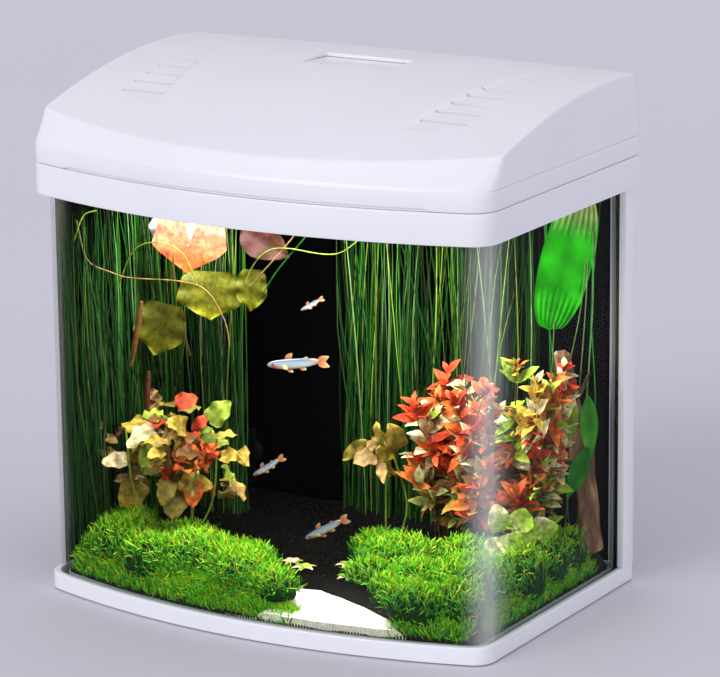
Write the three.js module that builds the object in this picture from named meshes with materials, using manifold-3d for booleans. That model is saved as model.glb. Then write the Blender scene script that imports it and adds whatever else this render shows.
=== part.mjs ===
// Hooded desktop aquarium with a bow front of bent glass.
// Millimetres, +Z up, the viewer's side is -Y. The origin is at the middle of the footprint, on the ground.
import * as THREE from 'three';
import { mergeVertices } from 'three/addons/utils/BufferGeometryUtils.js';
import Module from 'manifold-3d';

const wasm = await Module();
wasm.setup();

// Driving dimensions of the whole tank.
const WIDTH = 380;
const SIDE_DEPTH = 228;
const BOW = 33;
const RIM_CORNER = 20;
const GAP = 0.3;

const HALF = WIDTH / 2;
const REAR = (SIDE_DEPTH + BOW) / 2;
const BOW_RADIUS = (HALF * HALF + BOW * BOW) / (2 * BOW);
const BOW_CENTRE = -REAR + BOW_RADIUS;

// Heights of the horizontal joints.
const BASE_BOTTOM = 1;
const BASE_TOP = 13.9;
const RIM_BOTTOM = 301.6;
const RIM_TOP = 324.6;
const LID_BOTTOM = RIM_TOP + GAP;
const STEP_Z = 339.5;

// Glass.
const GLASS = 5;
const GLASS_INSET = 8;
const GLASS_CORNER = 18;
const GLASS_BOTTOM = 4;
const GLASS_TOP = 316;
const INNER_CORNER = GLASS_CORNER - GLASS;
const INNER_INSET = GLASS_INSET + GLASS;
const FLOOR_Z = GLASS_BOTTOM + GLASS;
const REAR_GLASS_FRONT = REAR - INNER_INSET;
const SIDE_INNER = HALF - INNER_INSET;
const SEAM_BEAD = 2.5;

// Base frame and its foot pads.
const BASE_INSET = 3.7;
const BASE_CORNER = 17;
const FOOT = { radius: 8, height: 3, recess: 3.3 };
const FEET = [[-150, -70], [150, -70], [-150, 105], [150, 105]];

// Top frame: how far it reaches in over the tank, and the corner radius of its opening.
const RIM_REACH = 24;
const RIM_OPENING_CORNER = 12;

// Hood.
const LID_WALL = 2.2;
const LID_SKIN = 2;
const CREASE_FRONT = -119.9;
const CREASE_SAGITTA = 41.1;
const CREASE_CORNER = 10;
const CREASE_HEIGHT = 352.8;
const SIDE_CREASE_HEIGHT = 361;
const REAR_LEAN = 7.5;
const HINGE_Y = REAR - 3;
const HINGE_Z = RIM_TOP + 4.4;
const HINGE_X = 110;
const KNUCKLE_RADIUS = 3;
const PIN_RADIUS = 1.3;
const LUG = 10;
const KNUCKLE = 8;

// Louvres: the first one's place and size, and how the last one differs.
const LOUVRE = {
  count: 5,
  front: -44.5,
  pitch: 16.7,
  outer: 143.3,
  outerGrowth: 3.1,
  length: 37,
  taper: 8.5,
  width: 2.6,
};
const FINGER_GAP = { half: 150, height: 1.6, depth: 1.4 };
const SWITCH = { x: -150, z: 352, width: 20, height: 18, depth: 4.5, rear: REAR - 0.3 };
const CABLE_NOTCH = { x: 150, half: 5, top: 331 };

// Feeding hatch, a panel that slides back under the skin of the hood.
const HATCH_WIDTH = 75;
const HATCH_FRONT = 33.5;
const HATCH_REAR = 67.5;
const HATCH_SLOPE = 0.03;
const HATCH_TOP = 388.4;

// Lamp bar under the front of the hood.
const LAMP = { width: 260, front: -60, rear: -4, top: 360, bottom: 346, wall: 1.6 };

// Pump in the rear left corner and the filter tray above it.
const PUMP = { x: -150, z: 60, front: 70, split: 84, rear: 106 };
const TRAY = { left: -164, right: -20, front: 64, rear: 105, bottom: 292, wall: 2 };

// Ground inside the tank.
const SOIL_TOP = 30;
const SAND_TOP = 20;
const BED_INSET = INNER_INSET + SEAM_BEAD + 0.7;
const BED_CORNER = INNER_CORNER - SEAM_BEAD;

const finishes = {
  plastic: { color: 0xe9e9f2, roughness: 0.25, metalness: 0 },
  black_plastic: { color: 0x17181a, roughness: 0.5, metalness: 0 },
  rubber: { color: 0x3a3a3c, roughness: 0.9, metalness: 0 },
  silicone: { color: 0xc9d2d6, roughness: 0.4, metalness: 0 },
  steel: { color: 0xb9bcc0, roughness: 0.3, metalness: 1 },
  board: { color: 0xdfe3e0, roughness: 0.5, metalness: 0 },
  film: { color: 0x050506, roughness: 0.6, metalness: 0 },
  sponge: { color: 0x2f3136, roughness: 1, metalness: 0 },
  sand: { color: 0xe6e0cf, roughness: 1, metalness: 0 },
  soil: { color: 0x2a1d14, roughness: 1, metalness: 0 },
  moss: { color: 0x6fae16, roughness: 0.9, metalness: 0 },
  grass: { color: 0x2c7a22, roughness: 0.7, metalness: 0 },
  red_leaf: { color: 0xc65a35, roughness: 0.6, metalness: 0 },
  yellow_leaf: { color: 0xb7b04a, roughness: 0.6, metalness: 0 },
  green_leaf: { color: 0x7bd832, roughness: 0.5, metalness: 0 },
  wood: { color: 0x2b1a12, roughness: 0.9, metalness: 0 },
};
const materials = Object.fromEntries(
  Object.entries(finishes).map(([name, finish]) => [name, new THREE.MeshStandardMaterial(finish)]),
);
materials.glass = new THREE.MeshStandardMaterial({
  color: 0xdbe8e6,
  roughness: 0.05,
  metalness: 0,
  transparent: true,
  opacity: 0.35,
});

const model = new THREE.Group();

// ---------- solids ----------

function toSolid(geometry) {
  const bare = geometry.clone();
  bare.deleteAttribute('normal');
  bare.deleteAttribute('uv');
  const merged = mergeVertices(bare, 1e-4);
  return new wasm.Manifold(new wasm.Mesh({
    numProp: 3,
    vertProperties: new Float32Array(merged.attributes.position.array),
    triVerts: new Uint32Array(merged.index.array),
  }));
}

function toGeometry(solid) {
  const mesh = solid.getMesh();
  const geometry = new THREE.BufferGeometry();
  geometry.setAttribute('position', new THREE.BufferAttribute(mesh.vertProperties, 3));
  geometry.setIndex(new THREE.BufferAttribute(mesh.triVerts, 1));
  geometry.computeVertexNormals();
  return geometry;
}

function part(name, shape, finish, parent = model) {
  const geometry = shape.isBufferGeometry ? shape : toGeometry(shape);
  const mesh = new THREE.Mesh(geometry, materials[finish]);
  mesh.name = name;
  parent.add(mesh);
  return mesh;
}

function box(x0, x1, y0, y1, z0, z1) {
  const geometry = new THREE.BoxGeometry(x1 - x0, y1 - y0, z1 - z0);
  geometry.translate((x0 + x1) / 2, (y0 + y1) / 2, (z0 + z1) / 2);
  return geometry;
}

function prism(points, z0, z1) {
  const shape = new THREE.Shape(points);
  const geometry = new THREE.ExtrudeGeometry(shape, { depth: z1 - z0, bevelEnabled: false });
  geometry.translate(0, 0, z0);
  return geometry;
}

// A profile in the Y-Z plane, carried along X from x0 to x1.
function alongX(shape, x0, x1) {
  const settings = { depth: x1 - x0, bevelEnabled: false, curveSegments: 8 };
  const geometry = new THREE.ExtrudeGeometry(shape, settings);
  const turn = new THREE.Matrix4().makeBasis(
    new THREE.Vector3(0, 1, 0),
    new THREE.Vector3(0, 0, 1),
    new THREE.Vector3(1, 0, 0),
  );
  geometry.applyMatrix4(turn);
  geometry.translate(x0, 0, 0);
  return geometry;
}

function cylinderZ(x, y, z0, z1, radius, sides = 20) {
  const geometry = new THREE.CylinderGeometry(radius, radius, z1 - z0, sides);
  geometry.rotateX(Math.PI / 2);
  geometry.translate(x, y, (z0 + z1) / 2);
  return geometry;
}

function cylinderY(x, z, y0, y1, radius, sides = 20) {
  const geometry = new THREE.CylinderGeometry(radius, radius, y1 - y0, sides);
  geometry.translate(x, (y0 + y1) / 2, z);
  return geometry;
}

function arc(cx, cy, radius, from, to, steps) {
  const points = [];
  for (let i = 0; i <= steps; i += 1) {
    const angle = from + (to - from) * (i / steps);
    points.push(new THREE.Vector2(cx + radius * Math.cos(angle), cy + radius * Math.sin(angle)));
  }
  return points;
}

// ---------- plan outline ----------

// The outline is a bow front, two rounded front corners, straight sides and a straight rear.
// It is returned as four runs that start and end in the middle of the corners, ready for a grid.
function outlineRuns({ half, rear, bowRadius, bowCentre, corner, rearCorner, steps }) {
  const filletX = half - corner;
  const filletY = bowCentre - Math.sqrt((bowRadius - corner) ** 2 - filletX ** 2);
  const join = Math.atan2(filletY - bowCentre, filletX);
  const middle = join / 2;
  const quarter = Math.PI / 4;
  const inner = half - rearCorner;
  const rearMiddle = rear - rearCorner;
  const drop = (run) => run.slice(0, -1);
  const line = (a, b, count) => {
    const points = [];
    for (let i = 0; i <= count; i += 1) points.push(a.clone().lerp(b, i / count));
    return points;
  };
  const half2 = steps.corner / 2;
  const front = [
    ...drop(arc(-filletX, filletY, corner, -Math.PI - middle, -Math.PI - join, half2)),
    ...drop(arc(0, bowCentre, bowRadius, -Math.PI - join, join, steps.bow)),
    ...arc(filletX, filletY, corner, join, middle, half2),
  ];
  const right = [
    ...drop(arc(filletX, filletY, corner, middle, 0, half2)),
    ...drop(line(new THREE.Vector2(half, filletY), new THREE.Vector2(half, rearMiddle), steps.side)),
    ...arc(inner, rearMiddle, rearCorner, 0, quarter, 1),
  ];
  const rearCount = steps.bow + steps.corner - 2;
  const back = [
    ...drop(arc(-inner, rearMiddle, rearCorner, 3 * quarter, 2 * quarter, 1)),
    ...drop(line(new THREE.Vector2(-inner, rear), new THREE.Vector2(inner, rear), rearCount)),
    ...arc(inner, rearMiddle, rearCorner, 2 * quarter, quarter, 1),
  ];
  const left = right.map((p) => new THREE.Vector2(-p.x, p.y));
  return { front, right, back, left };
}

function closeRuns({ front, right, back, left }) {
  return [
    ...front.slice(0, -1),
    ...right.slice(0, -1),
    ...[...back].reverse().slice(0, -1),
    ...[...left].reverse().slice(0, -1),
  ];
}

const COARSE = { bow: 16, corner: 6, side: 1 };

// The tank's outline moved inwards by inset, with a corner radius of its own.
function planOutline(inset, corner, changes = {}) {
  return closeRuns(outlineRuns({
    half: HALF - inset,
    rear: REAR - inset,
    bowRadius: BOW_RADIUS - inset,
    bowCentre: BOW_CENTRE,
    corner,
    rearCorner: 1,
    steps: COARSE,
    ...changes,
  }));
}

function planSolid(inset, corner, z0, z1, changes = {}) {
  return toSolid(prism(planOutline(inset, corner, changes), z0, z1));
}

// ---------- hood surface ----------

// Height of the hood's middle line, from the crease above the front facet (0) to the rear edge (1).
const middleProfile = (t) => CREASE_HEIGHT + 89.5 * t - 40.8 * t ** 2 - 14.5 * t ** 3;
const sideProfile = (t) => SIDE_CREASE_HEIGHT + 59.3 * t - 25.9 * t ** 2 - 8.9 * t ** 3;
const TOP_REAR = REAR - 0.5 - REAR_LEAN;

function crownHeight(x, y) {
  const across = (Math.abs(x) / HALF) ** 2;
  const crease = CREASE_FRONT + CREASE_SAGITTA * across;
  const along = Math.max((y - crease) / (TOP_REAR - crease), -0.02);
  return THREE.MathUtils.lerp(middleProfile(along), sideProfile(along), across);
}

// Each side of the crown has a lens-shaped recess that holds the louvres.
const LENS = { front: -63.5, widest: -28.5, fade: 6.5, rear: 118.5, width: 43, ramp: 3 };
const lensInner = (y) => 116 + 0.215 * (y - 11.5);

function lensWidth(y) {
  const towardsFront = Math.max((LENS.widest - y) / (LENS.widest - LENS.front), 0);
  const towardsRear = Math.max((y - LENS.fade) / (LENS.rear - LENS.fade), 0);
  if (towardsFront >= 1 || towardsRear >= 1) return 0;
  return LENS.width * Math.sqrt(1 - towardsFront ** 2) * (1 - towardsRear ** 2);
}

function hoodHeight(x, y) {
  const crown = crownHeight(x, y);
  const from = lensInner(y);
  const width = lensWidth(y);
  const reach = Math.abs(x) - from;
  if (reach <= 0 || reach >= width) return crown;
  const floor = Math.min(crown, crownHeight(from + width, y));
  return THREE.MathUtils.lerp(crown, floor, Math.min(reach / LENS.ramp, 1));
}

function hoodOutline(steps, inset, lift) {
  const lower = outlineRuns({
    half: HALF - inset,
    rear: REAR - 0.5 - inset,
    bowRadius: BOW_RADIUS - 0.9 - inset,
    bowCentre: BOW_CENTRE,
    corner: RIM_CORNER - inset,
    rearCorner: 3,
    steps,
  });
  const creaseRadius = (HALF ** 2 + CREASE_SAGITTA ** 2) / (2 * CREASE_SAGITTA);
  const upper = outlineRuns({
    half: HALF - inset,
    rear: TOP_REAR - inset,
    bowRadius: creaseRadius - inset,
    bowCentre: CREASE_FRONT + creaseRadius,
    corner: CREASE_CORNER - inset,
    rearCorner: 3,
    steps,
  });
  const blend = (run, key) => run.map((p, i) => {
    const share = key === 'back' ? lift ** 2 : lift;
    return p.clone().lerp(upper[key][i], share);
  });
  return Object.fromEntries(Object.entries(lower).map(([key, run]) => [key, blend(run, key)]));
}

// Rings from the bottom up, then a grid over the last ring: one closed body.
function hoodBody(steps, inset, drop, foot) {
  const positions = [];
  const index = [];
  const put = (x, y, z) => positions.push(x, y, z) / 3 - 1;
  const rings = [];
  const addRing = (points, height) => rings.push(points.map((p) => put(p.x, p.y, height(p.x, p.y))));

  const lip = closeRuns(outlineRuns({
    half: HALF - inset,
    rear: REAR - inset,
    bowRadius: BOW_RADIUS - inset,
    bowCentre: BOW_CENTRE,
    corner: RIM_CORNER - inset,
    rearCorner: 3,
    steps,
  }));
  addRing(lip, () => foot);
  addRing(lip, () => STEP_Z - drop * 0.2);
  const start = STEP_Z + 0.4;
  for (const lift of [0, 0.5, 0.95]) {
    const points = closeRuns(hoodOutline(steps, inset, lift));
    addRing(points, (x, y) => THREE.MathUtils.lerp(start, hoodHeight(x, y) - drop, lift));
  }

  const runs = hoodOutline(steps, inset + 1.4, 1);
  const columns = runs.front.length - 1;
  const rows = runs.right.length - 1;
  const corner = (run, end) => (end ? run[run.length - 1] : run[0]);
  const grid = [];
  for (let row = 0; row <= rows; row += 1) {
    const t = row / rows;
    grid.push([]);
    for (let column = 0; column <= columns; column += 1) {
      const s = column / columns;
      const point = new THREE.Vector2()
        .addScaledVector(runs.front[column], 1 - t)
        .addScaledVector(runs.back[column], t)
        .addScaledVector(runs.left[row], 1 - s)
        .addScaledVector(runs.right[row], s)
        .addScaledVector(corner(runs.front, false), -(1 - s) * (1 - t))
        .addScaledVector(corner(runs.front, true), -s * (1 - t))
        .addScaledVector(corner(runs.back, false), -(1 - s) * t)
        .addScaledVector(corner(runs.back, true), -s * t);
      grid[row].push(put(point.x, point.y, hoodHeight(point.x, point.y) - drop));
    }
  }
  const border = [];
  for (let column = 0; column < columns; column += 1) border.push(grid[0][column]);
  for (let row = 0; row < rows; row += 1) border.push(grid[row][columns]);
  for (let column = columns; column > 0; column -= 1) border.push(grid[rows][column]);
  for (let row = rows; row > 0; row -= 1) border.push(grid[row][0]);
  rings.push(border);

  for (let k = 0; k + 1 < rings.length; k += 1) {
    const count = rings[k].length;
    for (let i = 0; i < count; i += 1) {
      const j = (i + 1) % count;
      index.push(rings[k][i], rings[k][j], rings[k + 1][j]);
      index.push(rings[k][i], rings[k + 1][j], rings[k + 1][i]);
    }
  }
  for (let row = 0; row < rows; row += 1) {
    for (let column = 0; column < columns; column += 1) {
      const [a, b] = [grid[row][column], grid[row][column + 1]];
      const [c, d] = [grid[row + 1][column + 1], grid[row + 1][column]];
      index.push(a, b, c, a, c, d);
    }
  }
  for (const [a, b, c] of THREE.ShapeUtils.triangulateShape(lip, [])) {
    index.push(rings[0][a], rings[0][c], rings[0][b]);
  }
  const geometry = new THREE.BufferGeometry();
  geometry.setAttribute('position', new THREE.Float32BufferAttribute(positions, 3));
  geometry.setIndex(index);
  return toSolid(geometry);
}

// ---------- base, glass and rim ----------

function baseFrame() {
  const outer = planSolid(BASE_INSET, BASE_CORNER, BASE_BOTTOM, BASE_TOP, { rear: REAR });
  const pocket = planSolid(GLASS_INSET - GAP, GLASS_CORNER, GLASS_BOTTOM - GAP, BASE_TOP + 1);
  let frame = outer.subtract(pocket);
  for (const [x, y] of FEET) {
    frame = frame.subtract(toSolid(cylinderZ(x, y, 0, FOOT.recess, FOOT.radius + 0.4)));
  }
  return frame;
}

function buildBase() {
  part('base_frame', baseFrame(), 'plastic');
  FEET.forEach(([x, y], i) => {
    part(`foot_pad_${i + 1}`, cylinderZ(x, y, 0, FOOT.height, FOOT.radius), 'rubber');
  });
}

function buildGlass() {
  const outer = planSolid(GLASS_INSET, GLASS_CORNER, GLASS_BOTTOM, GLASS_TOP);
  const inner = planSolid(INNER_INSET, INNER_CORNER, GLASS_BOTTOM - 1, GLASS_TOP + 1);
  const behind = toSolid(box(-HALF, HALF, REAR_GLASS_FRONT - GAP, REAR, 0, GLASS_TOP + 1));
  part('front_glass', outer.subtract(inner).subtract(behind), 'glass');
  const paneHalf = HALF - GLASS_INSET;
  const paneRear = REAR_GLASS_FRONT + GLASS;
  part('rear_glass', box(-paneHalf, paneHalf, REAR_GLASS_FRONT, paneRear, GLASS_BOTTOM, GLASS_TOP), 'glass');
  part('bottom_glass', planSolid(INNER_INSET + GAP, INNER_CORNER, GLASS_BOTTOM, FLOOR_Z), 'glass');
}

function buildSeams() {
  const bead = SEAM_BEAD;
  const low = FLOOR_Z + GAP;
  const outline = new THREE.Shape(planOutline(INNER_INSET + GAP, INNER_CORNER));
  outline.holes.push(new THREE.Path(planOutline(INNER_INSET + GAP + bead, INNER_CORNER - bead).reverse()));
  const ring = new THREE.ExtrudeGeometry(outline, { depth: bead, bevelEnabled: false });
  ring.translate(0, 0, low);
  part('seam_bottom', ring, 'silicone');
  for (const [side, name] of [[-1, 'left'], [1, 'right']]) {
    const x = side * (SIDE_INNER - GAP);
    const y = REAR_GLASS_FRONT - GAP;
    const corner = [[x, y], [x - side * bead, y], [x, y - bead]].map((p) => new THREE.Vector2(...p));
    const outline = side > 0 ? corner : corner.reverse();
    part(`seam_rear_${name}`, prism(outline, low + bead + GAP, RIM_BOTTOM - GAP), 'silicone');
  }
}

function buildPosts() {
  const face = HALF - 2.5;
  const rear = REAR - 2;
  const side = HALF - GLASS_INSET + GAP;
  const back = REAR_GLASS_FRONT + GLASS + GAP;
  for (const [sign, name] of [[-1, 'left'], [1, 'right']]) {
    const inside = [[side, REAR - 18], [face, REAR - 18], [face, rear]];
    const profile = [...inside, [170, rear], [170, back], [side, back]];
    const points = profile.map(([x, y]) => new THREE.Vector2(sign * x, y));
    part(`rear_post_${name}`, prism(points, BASE_TOP + GAP, RIM_BOTTOM - GAP), 'plastic');
  }
}

function buildBackdrop() {
  const thick = 0.5;
  const back = REAR_GLASS_FRONT + GLASS + GAP;
  const [low, high] = [BASE_TOP + GAP, RIM_BOTTOM - GAP];
  part('backdrop_rear', box(-169.7, 169.7, back, back + thick, low, high), 'film');
  const left = -(HALF - GLASS_INSET + GAP);
  // The side film starts where the bent corner of the front pane ends.
  const reach = BOW_RADIUS - GLASS_INSET - GLASS_CORNER;
  const across = HALF - GLASS_INSET - GLASS_CORNER;
  const bendEnd = BOW_CENTRE - Math.sqrt(reach ** 2 - across ** 2);
  part('backdrop_left', box(left - thick, left, bendEnd + 1, REAR - 18 - GAP, low, high), 'film');
}

function buildRim() {
  const ring = planSolid(0, RIM_CORNER, RIM_BOTTOM, RIM_TOP, { rearCorner: 3 })
    .subtract(planSolid(RIM_REACH, RIM_OPENING_CORNER, RIM_BOTTOM - 1, RIM_TOP + 1, { rearCorner: 4 }));
  const slot = planSolid(GLASS_INSET - GAP, GLASS_CORNER, RIM_BOTTOM - 1, GLASS_TOP + GAP)
    .subtract(planSolid(INNER_INSET + GAP, INNER_CORNER, RIM_BOTTOM - 2, GLASS_TOP + 1));
  part('top_frame', ring.subtract(slot), 'plastic');
}

// ---------- hinges ----------

function hingeProfile(boreRadius, foot) {
  const shape = new THREE.Shape();
  shape.moveTo(HINGE_Y - KNUCKLE_RADIUS, foot);
  shape.lineTo(HINGE_Y + KNUCKLE_RADIUS, foot);
  shape.lineTo(HINGE_Y + KNUCKLE_RADIUS, HINGE_Z);
  shape.absarc(HINGE_Y, HINGE_Z, KNUCKLE_RADIUS, 0, Math.PI, false);
  const bore = new THREE.Path();
  bore.absarc(HINGE_Y, HINGE_Z, boreRadius, 0, 2 * Math.PI, true);
  shape.holes.push(bore);
  return shape;
}

function buildHingeLugs() {
  for (const [sign, name] of [[-1, 'left'], [1, 'right']]) {
    const x = sign * HINGE_X;
    const profile = hingeProfile(PIN_RADIUS + GAP, LID_BOTTOM);
    part(`hinge_lug_${name}`, alongX(profile, x - LUG, x + LUG), 'plastic');
    const pin = new THREE.CylinderGeometry(PIN_RADIUS, PIN_RADIUS, 2 * (LUG + KNUCKLE), 14);
    pin.rotateZ(Math.PI / 2);
    pin.translate(x, HINGE_Y, HINGE_Z);
    part(`hinge_pin_${name}`, pin, 'steel');
  }
}

// ---------- hood ----------

function stadium(cx, cy, length, width) {
  const reach = (length - width) / 2;
  return [
    ...arc(cx + reach, cy, width / 2, -Math.PI / 2, Math.PI / 2, 4),
    ...arc(cx - reach, cy, width / 2, Math.PI / 2, 1.5 * Math.PI, 4),
  ];
}

function lampScrewPlaces() {
  const places = [];
  for (const x of [-LAMP.width / 2 - 6, LAMP.width / 2 + 6]) {
    for (const y of [LAMP.front + 8, LAMP.rear - 8]) places.push([x, y]);
  }
  return places;
}

function buildLid() {
  const outer = hoodBody({ bow: 24, corner: 4, side: 17 }, 0, 0, LID_BOTTOM);
  const inner = hoodBody({ bow: 12, corner: 4, side: 10 }, LID_WALL, LID_SKIN, LID_BOTTOM - 5);
  let lid = outer.subtract(inner);

  for (let i = 0; i < LOUVRE.count; i += 1) {
    const share = i / (LOUVRE.count - 1);
    const y = LOUVRE.front + LOUVRE.pitch * i;
    const outerEnd = LOUVRE.outer + LOUVRE.outerGrowth * share;
    const length = LOUVRE.length - LOUVRE.taper * share;
    for (const sign of [-1, 1]) {
      const slot = stadium(sign * (outerEnd - length / 2), y, length, LOUVRE.width);
      lid = lid.subtract(toSolid(prism(slot, STEP_Z, 400)));
    }
  }

  const hatchHalf = HATCH_WIDTH / 2;
  lid = lid.subtract(toSolid(box(-hatchHalf, hatchHalf, HATCH_FRONT, HATCH_REAR, 370, 400)));

  // Finger gap under the front lip.
  const { half: gapHalf, height: gapHeight, depth: gapDepth } = FINGER_GAP;
  const gap = planSolid(-2, RIM_CORNER, LID_BOTTOM - 1, LID_BOTTOM + gapHeight)
    .subtract(planSolid(gapDepth, RIM_CORNER - gapDepth, LID_BOTTOM - 2, LID_BOTTOM + gapHeight + 1))
    .intersect(toSolid(box(-gapHalf, gapHalf, -HALF, 0, LID_BOTTOM - 5, LID_BOTTOM + 5)));
  lid = lid.subtract(gap);

  // The rear wall stops short of the rim, so that its lower edge can swing down behind the hinge axis.
  lid = lid.subtract(toSolid(box(-HALF - 1, HALF + 1, HINGE_Y, REAR + 1, LID_BOTTOM - 1, HINGE_Z - 1.8)));
  const knuckleFoot = HINGE_Z - KNUCKLE_RADIUS + 0.4;
  for (const sign of [-1, 1]) {
    const x = sign * HINGE_X;
    const [near, far] = [LUG + GAP, LUG + KNUCKLE];
    const clearance = KNUCKLE_RADIUS + 0.6;
    lid = lid.subtract(toSolid(box(
      x - near,
      x + near,
      HINGE_Y - clearance,
      REAR + 1,
      LID_BOTTOM - 1,
      HINGE_Z + clearance,
    )));
    for (const [a, b] of [[x - far, x - near], [x + near, x + far]]) {
      const bore = cylinderY(0, 0, -KNUCKLE, KNUCKLE, PIN_RADIUS + GAP, 14);
      bore.rotateZ(Math.PI / 2);
      bore.translate((a + b) / 2, HINGE_Y, HINGE_Z);
      lid = lid.add(toSolid(alongX(hingeProfile(PIN_RADIUS + GAP, knuckleFoot), a, b)));
      lid = lid.subtract(toSolid(bore));
    }
  }

  // Bosses for the lamp's screws.
  for (const [x, y] of lampScrewPlaces()) {
    const boss = toSolid(cylinderZ(x, y, LAMP.top + GAP, hoodHeight(x, y) - 1, 4, 14));
    const pilot = toSolid(cylinderZ(x, y, LAMP.top - 1, LAMP.top + 5, 1.7, 12));
    lid = lid.add(boss).subtract(pilot);
  }

  const { x, z, width, height } = SWITCH;
  const [w, h] = [width / 2 - 1, height / 2 - 1];
  lid = lid.subtract(toSolid(box(x - w, x + w, 100, 140, z - h, z + h)));
  const notch = box(
    CABLE_NOTCH.x - CABLE_NOTCH.half,
    CABLE_NOTCH.x + CABLE_NOTCH.half,
    REAR - 10,
    REAR + 5,
    LID_BOTTOM - 2,
    CABLE_NOTCH.top,
  );
  part('lid', lid.subtract(toSolid(notch)), 'plastic');
}

function buildLamp() {
  const { width, front, rear, top, bottom, wall } = LAMP;
  const half = width / 2;
  let housing = toSolid(box(-half, half, front, rear, bottom, top));
  for (const [x, y] of lampScrewPlaces()) {
    const inner = Math.sign(x) * (half - 1);
    const outerEnd = x + Math.sign(x) * 6;
    const ear = box(Math.min(inner, outerEnd), Math.max(inner, outerEnd), y - 6, y + 6, top - 3, top);
    housing = housing.add(toSolid(ear));
  }
  for (const [x, y] of lampScrewPlaces()) {
    housing = housing.subtract(toSolid(cylinderZ(x, y, top - 5, top + 1, 2, 12)));
  }
  housing = housing.subtract(toSolid(box(
    -half + wall,
    half - wall,
    front + wall,
    rear - wall,
    bottom - 1,
    top - wall,
  )));
  part('lamp_housing', housing, 'plastic');

  const edge = wall + GAP;
  const boardTop = top - wall - GAP;
  let board = toSolid(box(-half + edge, half - edge, front + edge, rear - edge, boardTop - 1.6, boardTop));
  for (let column = 0; column < 12; column += 1) {
    for (const y of [front + 18, rear - 18]) {
      const x = -half + 20 + (column * (width - 40)) / 11;
      board = board.add(toSolid(box(x - 2, x + 2, y - 2, y + 2, boardTop - 2.6, boardTop - 1)));
    }
  }
  part('led_board', board, 'board');
  part('lamp_lens', box(-half + edge, half - edge, front + edge, rear - edge, bottom, bottom + 2), 'glass');

  lampScrewPlaces().forEach(([x, y], i) => {
    const profile = [[0, -6], [3.6, -6], [3.6, -4.6], [1.4, -3.4], [1.4, 3.6], [0.6, 4.6], [0, 4.6]];
    const screw = new THREE.LatheGeometry(profile.map((p) => new THREE.Vector2(...p)), 12);
    screw.rotateX(Math.PI / 2);
    screw.translate(x, y, top);
    part(`lamp_screw_${i + 1}`, screw, 'steel');
  });
}

// The hatch lies on a slope that falls to the rear, which lets it slide back under the skin.
function buildHatch() {
  const middle = (HATCH_FRONT + HATCH_REAR) / 2;
  const depth = HATCH_REAR - HATCH_FRONT - 2 * GAP;
  const half = HATCH_WIDTH / 2 - GAP;
  const plate = toSolid(box(-half, half, -depth / 2, depth / 2, -3, 0));
  const flange = toSolid(box(-half - 4, half + 4, -depth / 2, depth / 2, -3.8, -2.6));
  const dish = new THREE.SphereGeometry(1, 16, 8);
  dish.scale(8, 7, 1.6);
  dish.translate(0, depth / 2 - 14, 0.3);
  const hatch = new THREE.Group();
  hatch.position.set(0, middle, HATCH_TOP);
  hatch.rotation.x = -Math.atan(HATCH_SLOPE);
  part('feed_hatch', plate.add(flange).subtract(toSolid(dish)), 'plastic', hatch);

  const travel = 34;
  for (const [sign, name] of [[-1, 'left'], [1, 'right']]) {
    const inner = sign * (half + 1);
    const outer = sign * (half + 4 + GAP);
    const back = sign * (half + 6);
    const points = [[inner, -5.8], [back, -5.8], [back, -3.3], [outer, -3.3], [outer, -4.2], [inner, -4.2]];
    const shape = points.map(([x, z]) => new THREE.Vector2(x, z));
    const rail = prism(sign > 0 ? shape : shape.reverse(), 0, depth + travel);
    rail.rotateX(Math.PI / 2);
    rail.translate(0, depth / 2 + travel, 0);
    part(`hatch_rail_${name}`, rail, 'plastic', hatch);
  }
  model.add(hatch);
}

function buildSwitch() {
  const { x, z, width, height, depth, rear } = SWITCH;
  const [w, h] = [width / 2, height / 2];
  const half = [w - 1 - GAP, h - 1 - GAP];
  const sleeve = box(x - half[0], x + half[0], rear - depth - 4, rear - 0.8, z - half[1], z + half[1]);
  const opening = box(x - 6, x + 6, rear - 20, rear + 5, z - 6.8, z + 6.8);
  part('switch_bezel', toSolid(sleeve).subtract(toSolid(opening)), 'black_plastic');

  const radius = 6.4;
  const profile = arc(0, 0, radius, Math.PI * 0.62, Math.PI * 1.38, 6);
  profile.push(new THREE.Vector2(2.6, -5.6), new THREE.Vector2(1.6, 0), new THREE.Vector2(2.6, 5.6));
  const rocker = new THREE.Group();
  rocker.position.set(x, rear - 4, z);
  rocker.rotation.x = THREE.MathUtils.degToRad(-6);
  part('light_switch', alongX(new THREE.Shape(profile), -5.6, 5.6), 'black_plastic', rocker);
  model.add(rocker);
}

// ---------- pump and filter ----------

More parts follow.
